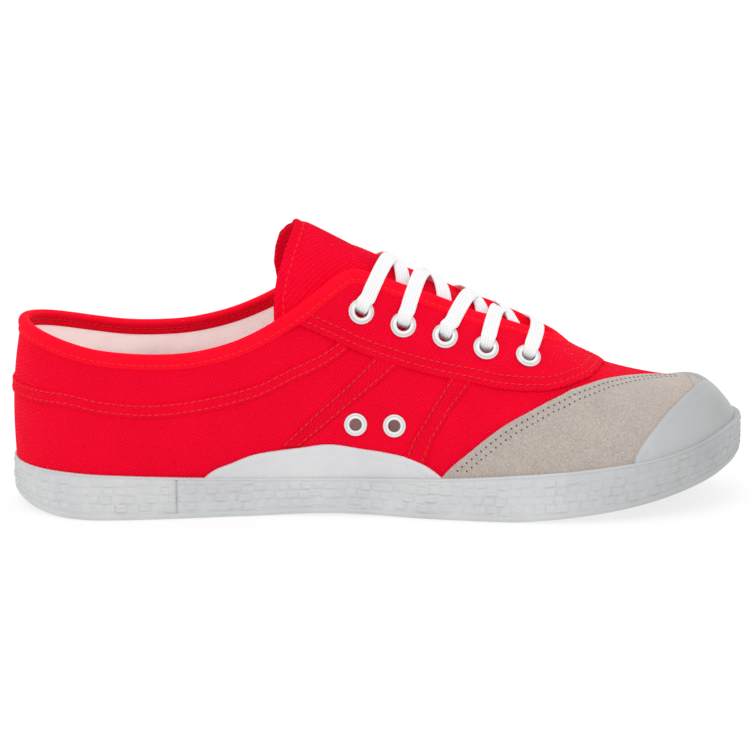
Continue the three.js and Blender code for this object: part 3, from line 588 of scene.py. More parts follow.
# Materials
class Nodes:
    """Short words for a material's node tree."""

    def __init__(self, name):
        self.material = bpy.data.materials.new(name)
        self.material.use_nodes = True
        self.tree = self.material.node_tree
        self.shader = self.tree.nodes["Principled BSDF"]

    def add(self, kind, **settings):
        node = self.tree.nodes.new(kind)
        for key, value in settings.items():
            setattr(node, key, value)
        return node

    def put(self, socket, value):
        """Gives a socket a number, a colour or another node's output."""
        if isinstance(value, bpy.types.NodeSocket):
            self.tree.links.new(value, socket)
        else:
            socket.default_value = value

    def feed(self, node, **inputs):
        for key, value in inputs.items():
            self.put(node.inputs[key.replace("_", " ")], value)
        return node

    def math(self, operation, *values):
        node = self.add("ShaderNodeMath", operation=operation)
        for socket, value in zip(node.inputs, values):
            self.put(socket, value)
        return node.outputs[0]

    def sum(self, *parts):
        """Sum of values, each times its share."""
        total = None
        for value, share in parts:
            part = value if share == 1 else self.math("MULTIPLY", value, share)
            total = part if total is None else self.math("ADD", total, part)
        return total

    def wave(self, value, pitch):
        return self.math("SINE", self.math("MULTIPLY", value, 2 * math.pi / pitch))

    def place(self):
        return self.add("ShaderNodeTexCoord").outputs["Object"]

    def noise(self, scale, detail=3):
        """Cloudy values; the scale is in waves per metre."""
        node = self.add("ShaderNodeTexNoise")
        return self.feed(node, Scale=scale, Detail=detail, Vector=self.place()).outputs["Fac"]

    def split(self, source):
        return self.feed(self.add("ShaderNodeSeparateXYZ"), Vector=source).outputs

    def cloth_place(self):
        axes = self.split(self.add("ShaderNodeUVMap", uv_map="cloth").outputs[0])
        return axes[0], axes[1]

    def rise(self, axis, low, high):
        """Smooth rise from 0 to 1 between two places, in mm, along an axis of the object."""
        node = self.add("ShaderNodeMapRange", interpolation_type="SMOOTHSTEP")
        self.feed(node, From_Min=low * MM, From_Max=high * MM, Value=self.split(self.place())[axis])
        return node.outputs[0]

    def ramp(self, value, stops):
        node = self.add("ShaderNodeValToRGB")
        while len(node.color_ramp.elements) < len(stops):
            node.color_ramp.elements.new(0.5)
        for element, (position, color) in zip(node.color_ramp.elements, stops):
            element.position = position
            element.color = (*color, 1)
        self.put(node.inputs[0], value)
        return node.outputs[0]

    def roughness(self, value, low, high):
        node = self.feed(self.add("ShaderNodeMapRange"), To_Min=low, To_Max=high, Value=value)
        self.feed(self.shader, Roughness=node.outputs[0])

    def bump(self, value, distance, strength=1.0):
        node = self.feed(self.add("ShaderNodeBump"), Strength=strength, Distance=distance * MM, Height=value)
        self.feed(self.shader, Normal=node.outputs[0])

    def finish(self, value, stops, **values):
        """Colours by a value, sets the shader's other inputs and gives the material."""
        self.feed(self.shader, Base_Color=self.ramp(value, stops), **values)
        return self.material


def weave(nodes, pitch):
    """Height of a plain weave whose threads cross every pitch."""
    u, v = nodes.cloth_place()
    return nodes.math("MULTIPLY", nodes.wave(u, pitch), nodes.wave(v, pitch))


def canvas(name, dark, light, pitch=1.5, depth=0.27):
    nodes = Nodes(name)
    threads = weave(nodes, pitch)
    fuzz = nodes.noise(2200, 2)
    tone = nodes.sum((threads, 0.25), (nodes.noise(60, 4), 0.35), (fuzz, 0.5))
    nodes.bump(nodes.sum((threads, 1), (fuzz, 1.1)), depth, 0.9)
    nodes.roughness(fuzz, 0.82, 0.97)
    # Painted light: a faint red glow lifts the cloth where it lies in shade.
    return nodes.finish(tone, [(0.12, dark), (0.78, light)], Specular_IOR_Level=0.07,
                        Emission_Color=(1.0, 0.0, 0.03, 1), Emission_Strength=0.07)


def suede(name):
    nodes = Nodes(name)
    nap = nodes.noise(1500, 5)
    cloud = nodes.noise(90, 4)
    nodes.bump(nap, 0.22, 0.8)
    nodes.roughness(cloud, 0.86, 0.97)
    return nodes.finish(nodes.sum((nap, 0.8), (cloud, 0.2)),
                        [(0.3, (0.33, 0.28, 0.25)), (0.7, (0.535, 0.47, 0.415))],
                        Specular_IOR_Level=0.12, Sheen_Weight=0.25, Sheen_Roughness=0.6)


def rubber(name, dark, light, rough, toe_from=62, toe_to=128, toe_shade_share=0.70):
    """Rubber with painted shade that darkens it toward the toe."""
    nodes = Nodes(name)
    cloud = nodes.noise(45, 5)
    fine = nodes.noise(900, 3)
    # Painted shade: the tone falls toward the toe along the object's length.
    grey = nodes.rise(0, toe_from, toe_to)
    tone = nodes.math("ADD", nodes.sum((cloud, 0.3), (fine, 0.1), (grey, -0.6)), 0.6)
    shaded_toe_dark = tuple(toe_shade_share * value for value in dark)
    shaded_toe_light = tuple(toe_shade_share * value for value in light)
    nodes.bump(fine, 0.03, 0.5)
    nodes.roughness(cloud, rough - 0.08, rough + 0.1)
    return nodes.finish(tone, [(0.14, shaded_toe_dark), (0.26, shaded_toe_light), (0.74, dark), (0.86, light)],
                        Specular_IOR_Level=0.4)


def lining(name):
    """Pale cloth with painted shade that darkens it low in the shoe, and a faint glow in its own colour that
    stands in for light.
    """
    nodes = Nodes(name)
    threads = weave(nodes, 0.8)
    # Painted shade: the cloth darkens with falling height in the shoe.
    tone = nodes.sum((nodes.rise(2, 40, 58), 0.7), (threads, 0.04), (nodes.noise(120, 4), 0.3))
    shade = nodes.ramp(tone, [
        (0.05, (0.30, 0.18, 0.175)), (0.75, (0.92, 0.79, 0.765)), (1.0, (0.97, 0.90, 0.88)),
    ])
    nodes.bump(threads, 0.08, 0.5)
    # Painted light: the cloth glows in its own colour.
    nodes.feed(nodes.shader, Base_Color=shade, Emission_Color=shade, Emission_Strength=0.30, Roughness=0.92,
               Specular_IOR_Level=0.15)
    return nodes.material


def metal(name):
    """Ring with painted shade down its bore, in a groove and at its rim, and bands of painted highlight
    between; v runs from the bore to the rim.
    """
    nodes = Nodes(name)
    cloud = nodes.noise(700, 3)
    tone = nodes.sum((nodes.cloth_place()[1], 1), (nodes.math("SUBTRACT", cloud, 0.5), 0.06))
    nodes.bump(cloud, 0.02, 0.3)
    nodes.roughness(cloud, 0.25, 0.4)
    # Painted shade in the bore, the groove and at the rim; painted highlight in the bright bands.
    return nodes.finish(tone, [
        (0.0, (0.10, 0.060, 0.06)), (0.16, (0.26, 0.22, 0.22)), (0.28, (0.50, 0.50, 0.49)),
        (0.38, (0.84, 0.84, 0.83)), (0.54, (0.76, 0.76, 0.75)), (0.64, (0.52, 0.52, 0.53)),
        (0.76, (0.86, 0.86, 0.85)), (0.88, (0.55, 0.55, 0.57)), (1.0, (0.22, 0.22, 0.25)),
    ], Metallic=0.35)


def woven_lace(name):
    nodes = Nodes(name)
    u, v = nodes.cloth_place()
    fuzz = nodes.noise(2400, 2)
    woven = nodes.sum((nodes.wave(v, 1.15), 1), (nodes.wave(u, 0.8), 0.25))
    nodes.bump(nodes.sum((woven, 1), (fuzz, 0.8)), 0.11, 0.7)
    # Painted light: the lace glows faintly so it stays bright in shade.
    return nodes.finish(nodes.sum((woven, 0.16), (fuzz, 0.6)),
                        [(0.05, (0.74, 0.74, 0.755)), (0.5, (0.87, 0.87, 0.875))],
                        Roughness=0.85, Specular_IOR_Level=0.2, Sheen_Weight=0.1, Emission_Strength=0.05)


def thread(name, dark, light):
    nodes = Nodes(name)
    fuzz = nodes.noise(3000, 2)
    nodes.bump(fuzz, 0.06, 0.5)
    return nodes.finish(fuzz, [(0.3, dark), (0.7, light)], Roughness=0.75, Specular_IOR_Level=0.25)


red_canvas = canvas("red canvas", (0.74, 0.0, 0.014), (1.0, 0.002, 0.034))
red_edge = canvas("red binding", (0.82, 0.0, 0.012), (1.0, 0.006, 0.030), pitch=1.2, depth=0.10)
red_thread = thread("red thread", (0.84, 0.008, 0.018), (0.98, 0.030, 0.032))
grey_thread = thread("grey thread", (0.36, 0.345, 0.33), (0.50, 0.48, 0.46))
grey_hole = thread("suede pinhole", (0.035, 0.035, 0.045), (0.09, 0.09, 0.10))
# Dark beads under the red stitches: painted shadow.
painted_stitch_shadow = thread("painted stitch shadow", (0.22, 0.0, 0.006), (0.34, 0.0, 0.008))
suede_leather = suede("grey suede")
guard_rubber = rubber("guard rubber", (0.58, 0.59, 0.605), (0.66, 0.665, 0.675), 0.42)
# The cap's rubber is a darker copy of the wall's rubber: painted shade over the toe.
shaded_cap_rubber = rubber("cap rubber", (0.44, 0.445, 0.455), (0.52, 0.525, 0.53), 0.38, 98, 136, 0.74)
wall_rubber = rubber("wall rubber", (0.53, 0.54, 0.55), (0.61, 0.62, 0.625), 0.55)
tread_rubber = rubber("tread rubber", (0.50, 0.51, 0.52), (0.58, 0.585, 0.59), 0.65)
pale_lining = lining("pale lining")
eyelet_metal = metal("eyelet metal")
white_lace = woven_lace("white lace")


# Stitches
STITCH_PITCH = 2.75
STITCH_LENGTH = 2.1
STITCH_RADIUS = 0.24
COLLAR_CLEAR = 5.4
EYESTAY_ROWS = (2.3, 5.4)
SUEDE_ROWS = (2.5, 5.0)
SUEDE_STITCHED_TO = 0.912 * LENGTH
BEAD_SIDES = 6
BEAD_RINGS = 5


def bead():
    """A round-ended rod of length and radius 1 along the first axis, and its faces."""
    rows = np.linspace(-1, 1, BEAD_RINGS)
    swells = np.sqrt(np.clip(1 - np.abs(rows) ** 3, 0, 1)) * 0.85 + 0.15
    angle = np.arange(BEAD_SIDES) * 2 * np.pi / BEAD_SIDES
    ring = np.stack([np.cos(angle), np.sin(angle)], 1)
    points = [np.column_stack([np.full(BEAD_SIDES, r * 0.5), ring * s]) for r, s in zip(rows, swells)]
    points = np.concatenate(points)
    caps = [list(range(BEAD_SIDES))[::-1], list(range(len(points) - BEAD_SIDES, len(points)))]
    return points, grid_faces(BEAD_RINGS, BEAD_SIDES, closed=True).tolist() + caps


BEAD_POINTS, BEAD_FACES = bead()
stitch_sets = {"red": [], "grey": []}
# Red entries are painted shadow under the stitches, grey ones holes between them.
holes_and_painted_shadows = {"red": [], "grey": []}


def place_beads(centres, along, normals, length, radius, flat=0.75):
    across = unit(np.cross(normals, along))
    b = BEAD_POINTS[None]
    points = (centres[:, None] + along[:, None] * (b[..., :1] * length)
              + across[:, None] * (b[..., 1:2] * radius) + normals[:, None] * (b[..., 2:] * radius * flat))
    return points.reshape(-1, 3)


def stitch_line(points, normals, colour, pitch=STITCH_PITCH, length=STITCH_LENGTH, radius=STITCH_RADIUS):
    """Stitches along a line: red ones get flat dark beads under them as painted shadow, grey ones show holes
    between.
    """
    arc = arc_along(points)
    at = np.arange(pitch / 2, arc[-1], pitch)
    along = unit(taken(points, arc, at + 0.4) - taken(points, arc, at - 0.4))
    square = unit(taken(normals, arc, at))
    stitch_sets[colour].append(place_beads(taken(points, arc, at), along, square, length, radius))
    if colour == "red":
        across = np.cross(square, along)
        # Painted shadow: flat dark beads just under each red stitch.
        under = taken(points, arc, at + 0.3) - across * np.sign(across[:, 2:]) * 0.30 - square * 0.10
        holes_and_painted_shadows[colour].append(place_beads(under, along, square, length, radius * 1.1, 0.6))
    else:
        between = taken(points, arc, at + pitch / 2) - square * 0.02
        holes_and_painted_shadows[colour].append(place_beads(between, along, square, 0.7, radius * 2.0, 0.5))


def beads_piece(name, sets, finish, slot):
    points = np.concatenate(sets)
    starts = range(0, len(points), len(BEAD_POINTS))
    new_piece(name, points, [[i + start for i in face] for start in starts for face in BEAD_FACES], finish,
              slot, weld=False)


def offset_line(xs, side, edge, distance, inside):
    """Ways of the line that runs a distance from an edge, above it (1) or below it (-1)."""
    turn = edge(xs, side)
    inner, outer = both_sides(xs, edge)
    border = dense(np.concatenate([inner, outer[::-1]]))
    share = np.linspace(0, 1, 120)
    span = (1 if inside > 0 else 0) - turn
    turns = turn[:, None] + span[:, None] * share[None, :]
    far = near(last_point(xs[:, None], ways_of(side, turns)), border) - distance
    column, found = crossing(far)
    return xs[found], ways_of(side, (turn + span * column * share[1])[found])


def stitched_edge(xs, edge, distance, inside, out, colour, relief, keep, **sizes):
    """Stitches that follow an edge on both sides of the shoe."""
    for side in (-1, 1):
        x, way = offset_line(xs, side, edge, distance, inside)
        points = skin(x, way, out + relief(last_point(x, way), side))
        kept = keep(points)
        stitch_line(points[kept], outward(x[kept], way[kept]), colour, **sizes)


# Canvas upper and its lining
WHOLE = np.concatenate([stations(BACK_X, HEEL_AXIS, 40)[:-1], np.linspace(HEEL_AXIS, 0.955 * LENGTH, 215)])
FINE = np.concatenate([
    BACK_X + (HEEL_AXIS - BACK_X) * np.linspace(0, 1, 60)[:-1] ** 2,
    np.linspace(HEEL_AXIS, THROAT_TO, 300),
])
VENT_CUT = 3.4
LACE_CUT = 3.2
VENT_HOLES = [(p, VENT_CUT) for p in hole_places(VENTS, -1)]
LACE_HOLES = [(p, LACE_CUT) for side in (-1, 1) for p in hole_places(EYELETS, side)]


def build_upper():
    holes = VENT_HOLES + LACE_HOLES
    panel("canvas_upper", WHOLE, foot, under_binding, -0.05, 0, 1.15, red_canvas, "canvas_upper",
          relief=crease_relief, holes=holes, replaces=["upper"], shell=0.9)
    seat = edge_of(lambda points: points[..., 2] - bottom(points[..., 0]) - PLATE - 1, 0.0, 0.0)
    panel("upper_lining", WHOLE[::2], seat, under_binding, -WALL, 0, 2.2, pale_lining, "canvas_upper",
          holes=holes, shell=0)


# Rolled binding of the collar and throat: distance below the edge, height over the last
ROLL = [
    [6.1, -0.10], [5.9, 0.45], [5.5, 0.66], [5.0, 0.62], [4.4, 0.42], [3.9, 0.72], [3.2, 1.05], [2.4, 1.22],
    [1.6, 1.15], [0.9, 0.86], [0.35, 0.35], [0.05, -0.35], [0.0, -1.1], [0.05, -1.9], [0.4, -2.6],
    [0.9, -3.0], [1.6, -3.15], [2.5, -3.0], [3.3, -2.55], [4.0, -2.8], [5.4, -2.6], [5.9, -2.4],
    [6.1, -1.95],
]
# Its stitches, placed the same way
OUTSIDE_ROW = (4.4, 0.5)
INSIDE_ROW = (3.3, -2.7)
INSIDE_TO = 0.46 * LENGTH


def running_mean(values, reach):
    kernel = np.ones(2 * reach + 1) / (2 * reach + 1)
    return np.convolve(np.pad(values, reach, mode="edge"), kernel, "valid")


def opening_half(side, spacing=0.5):
    """Even places along one side of the opening's edge, from the throat's front to the heel's back."""
    x = FINE[::-1]
    way = ways_of(side, opening(x, side))
    bend = (x > COLLAR_END - 14) & (x < COLLAR_END + 10)
    for _ in range(2):
        way = np.where(bend, running_mean(way, 5), way)
    arc = arc_along(last_point(x, way))
    at = np.linspace(0, arc[-1], int(arc[-1] / spacing))
    return np.interp(at, arc, x), np.interp(at, arc, way)


def opening_ring():
    """Closed line of the opening's edge: stations and ways."""
    inner = opening_half(-1)
    outer = opening_half(1)
    return [np.concatenate([near_side, far_side[::-1][1:-1]]) for near_side, far_side in zip(inner, outer)]


def smooth_ring(values, width):
    kernel = np.exp(-((np.arange(-3 * width, 3 * width + 1) / width) ** 2))
    kernel /= kernel.sum()
    padded = np.concatenate([values[-3 * width:], values, values[:3 * width]])
    return np.convolve(padded, kernel, mode="valid")


def flattened(direction, normal):
    """The part of a direction that lies square to the normal."""
    return unit(direction - normal * (direction * normal).sum(-1, keepdims=True))


def walk(x, way, heading, distance, steps=8):
    """Moves places over the last by a distance, starting in a direction."""
    for _ in range(steps):
        here = last_point(x, way)
        dx = (last_point(np.minimum(x + 0.1, FRONT_X), way) - here) / 0.1
        dw = (last_point(x, way + 0.001) - last_point(x, way - 0.001)) / 0.002
        dx = np.where((x < BACK_X + 0.4)[:, None], 0, dx)
        a = (dx * dx).sum(1) + 1e-9
        b = (dx * dw).sum(1)
        c = (dw * dw).sum(1) + 1e-9
        p = (heading * dx).sum(1) * distance / steps
        q = (heading * dw).sum(1) * distance / steps
        det = a * c - b * b + 1e-9
        x = np.clip(x + (p * c - q * b) / det, BACK_X, FRONT_X)
        way = way + (q * a - p * b) / det
        heading = flattened(heading, outward(x, way))
    return x, way


def build_binding():
    x, way = opening_ring()
    points = last_point(x, way)
    along = unit(np.roll(points, -2, 0) - np.roll(points, 2, 0))
    down = unit(np.cross(outward(x, way), along))
    down = unit(np.stack([smooth_ring(column, 5) for column in down.T], 1))
    raised = EYESTAY_OUT * on_eyestay(x)

    def line(distance, height, lift):
        px, pw = walk(x, way, down, distance)
        return skin(px, pw, height + lift * raised), outward(px, pw)

    grid = np.stack([line(distance, height, height > -1)[0] for distance, height in ROLL])
    around = np.broadcast_to(arc_along(points), grid.shape[:2])
    across = [distance if height > -1.1 else -distance for distance, height in ROLL]
    uv = np.stack([around, np.broadcast_to(np.array(across)[:, None], grid.shape[:2])], -1)
    faces = grid_faces(len(ROLL), len(x), closed=True)
    new_sheets("collar_binding", [(grid, faces, uv)], red_edge, "canvas_upper")
    outside, square = line(*OUTSIDE_ROW, 1)
    stitch_line(outside, square, "red")
    kept = x < INSIDE_TO
    inside, square = line(*INSIDE_ROW, 0)
    stitch_line(inside[kept], -square[kept], "red")


def build_eyestay():
    xs = np.concatenate([
        np.linspace(EYESTAY_BACK, EYESTAY_TURN, 150)[:-1], slowing(EYESTAY_TURN, EYESTAY_FRONT, 60),
    ])
    low = rounded(eyestay_low, EYESTAY_TURN, EYESTAY_FRONT, (eyestay_round, eyestay_round), EYESTAY_OUT)
    panel("canvas_eyestay", xs, low, under_binding, GAP, PLY, 0.9, red_canvas, "canvas_eyestay",
          borders=both_sides(xs, low), holes=LACE_HOLES, replaces=["eyestay"], shell=0.7,
          relief=eyestay_relief)
    for distance in EYESTAY_ROWS:
        stitched_edge(xs, low, distance, 1, EYESTAY_OUT + 0.02, "red", eyestay_relief, under_collar)


def under_collar(points):
    return points[:, 2] < collar(points[:, 0]) - COLLAR_CLEAR


def eyestay_relief(points, side):
    """Cloth pulled in a little round each eyelet."""
    total = np.zeros(points.shape[:-1])
    for place in hole_places(EYELETS, side):
        distance = np.linalg.norm(points - place, axis=-1)
        total += 0.22 * bell(distance - 9.5, 2.6) - 0.3 * bell(distance, 5.5)
    return total


def build_mudguard():
    xs = np.concatenate([
        np.linspace(SUEDE_BACK - 2, SUEDE_TURN, 90)[:-1],
        slowing(SUEDE_TURN, SUEDE_FRONT, 60),
        np.linspace(SUEDE_FRONT, CAP_BACK + 1, 30)[1:],
    ])
    out = GAP + SUEDE_THICK
    top = rounded(suede_top, SUEDE_TURN, SUEDE_FRONT, (suede_inner, suede_outer), out, SUEDE_LEAN)
    edge_x = xs[xs <= SUEDE_FRONT]
    panel("suede_mudguard", xs, foot, top, GAP, SUEDE_THICK, 1.0, suede_leather, "suede",
          borders=both_sides(edge_x, top), replaces=["mudguard"], radius=0.7, relief=suede_relief,
          shell=0.9)
    for distance in SUEDE_ROWS:
        stitched_edge(edge_x, top, distance, -1, out - 0.06, "grey", suede_relief, above_wall, pitch=2.4,
                      length=1.6, radius=0.24)


def above_wall(points):
    return (points[:, 2] > foxing_top(points[:, 0]) + 0.6) & (points[:, 0] < SUEDE_STITCHED_TO)


def suede_relief(points, side):
    x = points[..., 0]
    dent = 0.3 * bell(x - 0.70 * LENGTH, 6) * bell(points[..., 2] - 0.27 * INSTEP, 7)
    return 0.25 * bell(x - 0.76 * LENGTH, 12) - 0.5 * ramp(x, 0.80, 0.88) - dent


def lower_of(first, second):
    return lambda xs, side: np.minimum(first(xs, side), second(xs, side))


def build_cap():
    rear = CAP_BACK - 1.45 * CAP_SWEEP
    xs = np.concatenate([np.linspace(rear, CAP_BACK, 60)[:-1], slowing(CAP_BACK, FRONT_X, 60)])
    edge_x = np.linspace(0.78 * LENGTH, CAP_BACK, 400)
    panel("toe_cap_rubber", xs[xs > edge_x[0]], lower_of(foot, below_cap), below_cap, GAP, CAP_THICK, 1.0,
          shaded_cap_rubber, "rubber_cap", borders=both_sides(edge_x, below_cap), replaces=["toe_cap"], radius=1.1,
          shell=1.4, relief=cap_relief)


def cap_relief(points, side):
    """The rubber swells toward the side wall, most at the front."""
    rise = np.maximum(points[..., 2] - foxing_top(points[..., 0]), 0)
    ahead = np.clip((points[..., 0] - 0.84 * LENGTH) / (0.12 * LENGTH), 0, 1)
    return (0.3 + 1.3 * ahead) * bell(rise, 6.5)


def build_guard():
    xs = stations(GUARD_FROM, GUARD_TO, 150)
    high = above(guard_top)
    panel("arch_guard", xs, lower_of(foot, high), high, GAP, GUARD_THICK, 0.9, guard_rubber, "rubber_guard",
          borders=[edge_line(xs, -1, high)], sides=(-1,), replaces=["side_guard"], radius=0.8,
          relief=guard_relief, shell=1.0)


def guard_relief(points, side):
    """The strap under the rubber shows as a low ridge."""
    place = (points[..., 0] - 0.372 * LENGTH) - 0.75 * (points[..., 2] - 0.19 * INSTEP)
    return 0.22 * np.exp(-((place / 3.5) ** 4)) - 0.2


# Strip round the heel and the straps
STRAPS = [
    ([(0.361, 0.23), (0.402, 0.325), (0.442, 0.405), (0.50, 0.53)],
     [(0.385, 0.225), (0.422, 0.292), (0.459, 0.362), (0.497, 0.43), (0.55, 0.53)]),
    ([(0.525, 0.18), (0.538, 0.255), (0.566, 0.36), (0.60, 0.48)],
     [(0.556, 0.18), (0.567, 0.255), (0.593, 0.354), (0.64, 0.48)]),
]
STRAP_ACROSS = np.array([0, 0.012, 0.04, 0.09, *np.linspace(0.16, 0.84, 9), 0.91, 0.96, 0.988, 1])
STRAP_ROWS = (4, 12)


def build_strip():
    xs = np.concatenate([stations(BACK_X, HEEL_AXIS, 50)[:-1], np.linspace(HEEL_AXIS, 0.455 * LENGTH, 130)])
    low = above(strip_low)
    high = above(strip_low, STRIP)
    panel("heel_strip", xs, low, high, 0.0, STEP, 0.8, red_canvas, "canvas_upper",
          borders=both_sides(xs, low, high), shell=0.6)
    for lift in (1.4, STRIP - 0.9):
        for side in (-1, 1):
            way = ways_of(side, above(strip_low, lift)(xs, side))
            line = skin(xs, way, np.full(len(xs), STEP + 0.02))
            stitch_line(line, outward(xs, way), "red")


def strap_edge(points, z):
    table = np.array([[a * LENGTH, b * INSTEP] for a, b in points])
    return np.interp(z, table[:, 1], table[:, 0])


def build_straps():
    share = STRAP_ACROSS[None, :]
    sheets = []
    for rear, front in STRAPS:
        low = max(rear[0][1], front[0][1]) * INSTEP
        high = min(rear[-1][1], front[-1][1]) * INSTEP
        z = np.linspace(low, high, 70)[:, None]
        x = strap_edge(rear, z) * (1 - share) + strap_edge(front, z) * share
        for side in (-1, 1):
            way = side_place(x, z + 0 * x, side)
            bare = last_point(x, way)
            distance = near(bare, np.concatenate([dense(bare[:, 0]), dense(bare[:, -1])]))
            out = -TUCK + (STEP + TUCK) * roll_off(distance, 0.6) - 0.12 * bell(distance - 1.9, 0.6)
            points = bare + outward(x, way) * (out + crease_relief(bare, side))[..., None]
            uv = np.stack([share * 12 + 0 * z, z + 0 * share], -1)
            sheets.append((points, grid_faces(*x.shape)[:, :: -side], uv))
            for index in STRAP_ROWS:
                n = outward(x[:, index], way[:, index])
                stitch_line(points[:, index] + n * 0.05, n, "red")
    new_sheets("side_straps", sheets, red_canvas, "canvas_upper", shell=0.5)


# Tongue
TONGUE_OUT = -WALL - GAP - 1
TONGUE_THICK = 2.2
HEM = 3.4
TONGUE_BACK = 0.34 * LENGTH
TONGUE_FRONT = 0.80 * LENGTH
HEM_ROWS = 14
HEM_TO = 1.12
tongue_side = curve(scaled([
    [0.34, 0.54], [0.43, 0.52], [0.52, 0.49], [0.62, 0.45], [0.70, 0.40], [0.78, 0.34], [0.80, 0.33],
], INSTEP))
TONGUE_ENDS = {
    -1: [[0.53, 0.36], [0.64, 0.357], [0.70, 0.357], [0.77, 0.363], [0.86, 0.376], [0.92, 0.388],
         [1.0, 0.40]],
    1: [[0.53, 0.38], [0.64, 0.373], [0.71, 0.3675], [0.76, 0.364], [0.82, 0.3665], [0.87, 0.372],
        [0.905, 0.382], [0.92, 0.39], [0.98, 0.40]],
}


def tongue_grid(columns, rows):
    """Stations and ways of the tongue, from its end to its front and from side to side."""
    share = np.linspace(0, 1, columns)
    ends = [np.array(TONGUE_ENDS[side]) * [INSTEP, LENGTH] for side in (-1, 1)]
    xs = np.linspace(TONGUE_BACK, TONGUE_FRONT, 300)
    sides = [ways_of(side, above(tongue_side)(xs, side)) for side in (-1, 1)]

    def way_at(x):
        inner, outer = [np.interp(x, xs, way) for way in sides]
        return inner + (outer - inner) * share

    low = np.full(columns, TONGUE_BACK)
    high = np.full(columns, TONGUE_BACK + 0.10 * LENGTH)
    for _ in range(30):
        middle = (low + high) / 2
        way = way_at(middle)
        z = last_point(middle, way)[:, 2]
        inner_end, outer_end = [np.interp(z, end[:, 0], end[:, 1]) for end in ends]
        past = middle > inner_end + (outer_end - inner_end) / (1 + np.exp(-(way - 1) / 0.05))
        high = np.where(past, middle, high)
        low = np.where(past, low, middle)
    steps = np.concatenate([[0, 0.002, 0.005, 0.009, 0.014], np.linspace(0.02, 1, rows - 5)])
    x = high[None, :] + (TONGUE_FRONT - high)[None, :] * steps[:, None]
    return x, np.stack([way_at(row) for row in x])


def build_tongue():
    x, way = tongue_grid(120, 120)
    bare = last_point(x, way)
    distance = near(bare, np.concatenate([dense(line) for line in (bare[0], bare[:, 0], bare[:, -1])]))
    puff = 0.7 * roll_off(distance, 9) ** 2
    seam = 0.45 * bell(distance - HEM, 0.7)
    half = TONGUE_THICK / 2
    middle = TONGUE_OUT - half
    edge = half * roll_off(distance, 1.1)
    top = middle + edge + puff * (distance > 3) - seam + tongue_relief(bare)
    normal = outward(x, way)
    faces = grid_faces(*x.shape)
    uv = np.stack([x, (way - 1) * 70], -1)
    new_sheets("canvas_tongue", [
        (bare + normal * top[..., None], faces, uv),
        (bare + normal * (middle - edge - 0.2 * puff)[..., None], faces[:, ::-1], uv),
    ], red_canvas, "canvas_tongue", replaces=["tongue"])
    rows = np.argmax(distance > HEM, axis=0)
    columns = np.arange(len(rows))
    kept = (rows > 0) & (rows < HEM_ROWS) & (way[rows, columns] < HEM_TO)
    px = x[rows, columns][kept]
    pw = way[rows, columns][kept]
    height = TONGUE_OUT + 0.1 + tongue_relief(last_point(px, pw))
    stitch_line(skin(px, pw, height), outward(px, pw), "red")


def tongue_relief(points):
    """Soft wrinkles near the end of the tongue."""
    total = 0
    for x0, z0, dx, dz, depth in [
        (0.385, 0.73, 7, 3.2, -0.5), (0.40, 0.83, 3, 10, 0.35), (0.43, 0.74, 9, 4, -0.35),
    ]:
        across = points[..., 0] - x0 * LENGTH
        total = total + depth * bell(across, dx) * bell(points[..., 2] - z0 * INSTEP + 0.35 * across, dz)
    return total


# Rubber side wall with its basket weave relief
CELL_LONG = 4.5
CELL_HIGH = 3.4
RELIEF = 0.72
WALL_LIP = 0.9
JOINT_AT = 0.22 * LENGTH
STEP_AT = 0.215 * LENGTH


def uneven(n, size):
    """A steady but irregular value for each whole number."""
    return size * np.sin(n * 12.9898 + 4.1) * np.cos(n * 4.1414 + 1.3)


def softened(share, cell, key):
    """Rise from both edges of a cell over a width of its own."""
    return eased(np.clip(np.minimum(share, 1 - share) * cell / (0.75 + uneven(key, 0.35)), 0, 1))


def basket(s, z):
    """Height share of a basket weave: flat strands that pass over and under, none quite alike."""
    s = s + uneven(np.floor(z / CELL_HIGH), 0.9)
    column = np.floor(s / CELL_LONG)
    z = z + uneven(column, 0.45)
    row = np.floor(z / CELL_HIGH)
    u = s / CELL_LONG - column
    v = z / CELL_HIGH - row
    soft_u = softened(u, CELL_LONG, column + 3 * row)
    soft_v = softened(v, CELL_HIGH, row + 7 * column)
    lying = soft_v * (0.55 + 0.45 * np.sin(np.pi * u)) * (0.5 + 0.5 * soft_u)
    lying *= 1 - 0.35 * bell(np.abs(v - 0.5) * CELL_HIGH, 0.35)
    standing = soft_u * (0.35 + 0.3 * np.sin(np.pi * v))
    tall = 1 + uneven(2 * column + 5 * row, 0.5)
    return np.where(np.mod(column + row, 2) < 1, lying, standing) * tall


def even_loop(count):
    """Even points round the sole's outline, their inward directions and their places along it."""
    closed = np.concatenate([OUTLINE, OUTLINE[:1]])
    arc = arc_along(closed)
    at = np.linspace(0, arc[-1], count, endpoint=False)
    loop = taken(closed, arc, at)
    return loop, loop_normals(loop), at, arc[-1]


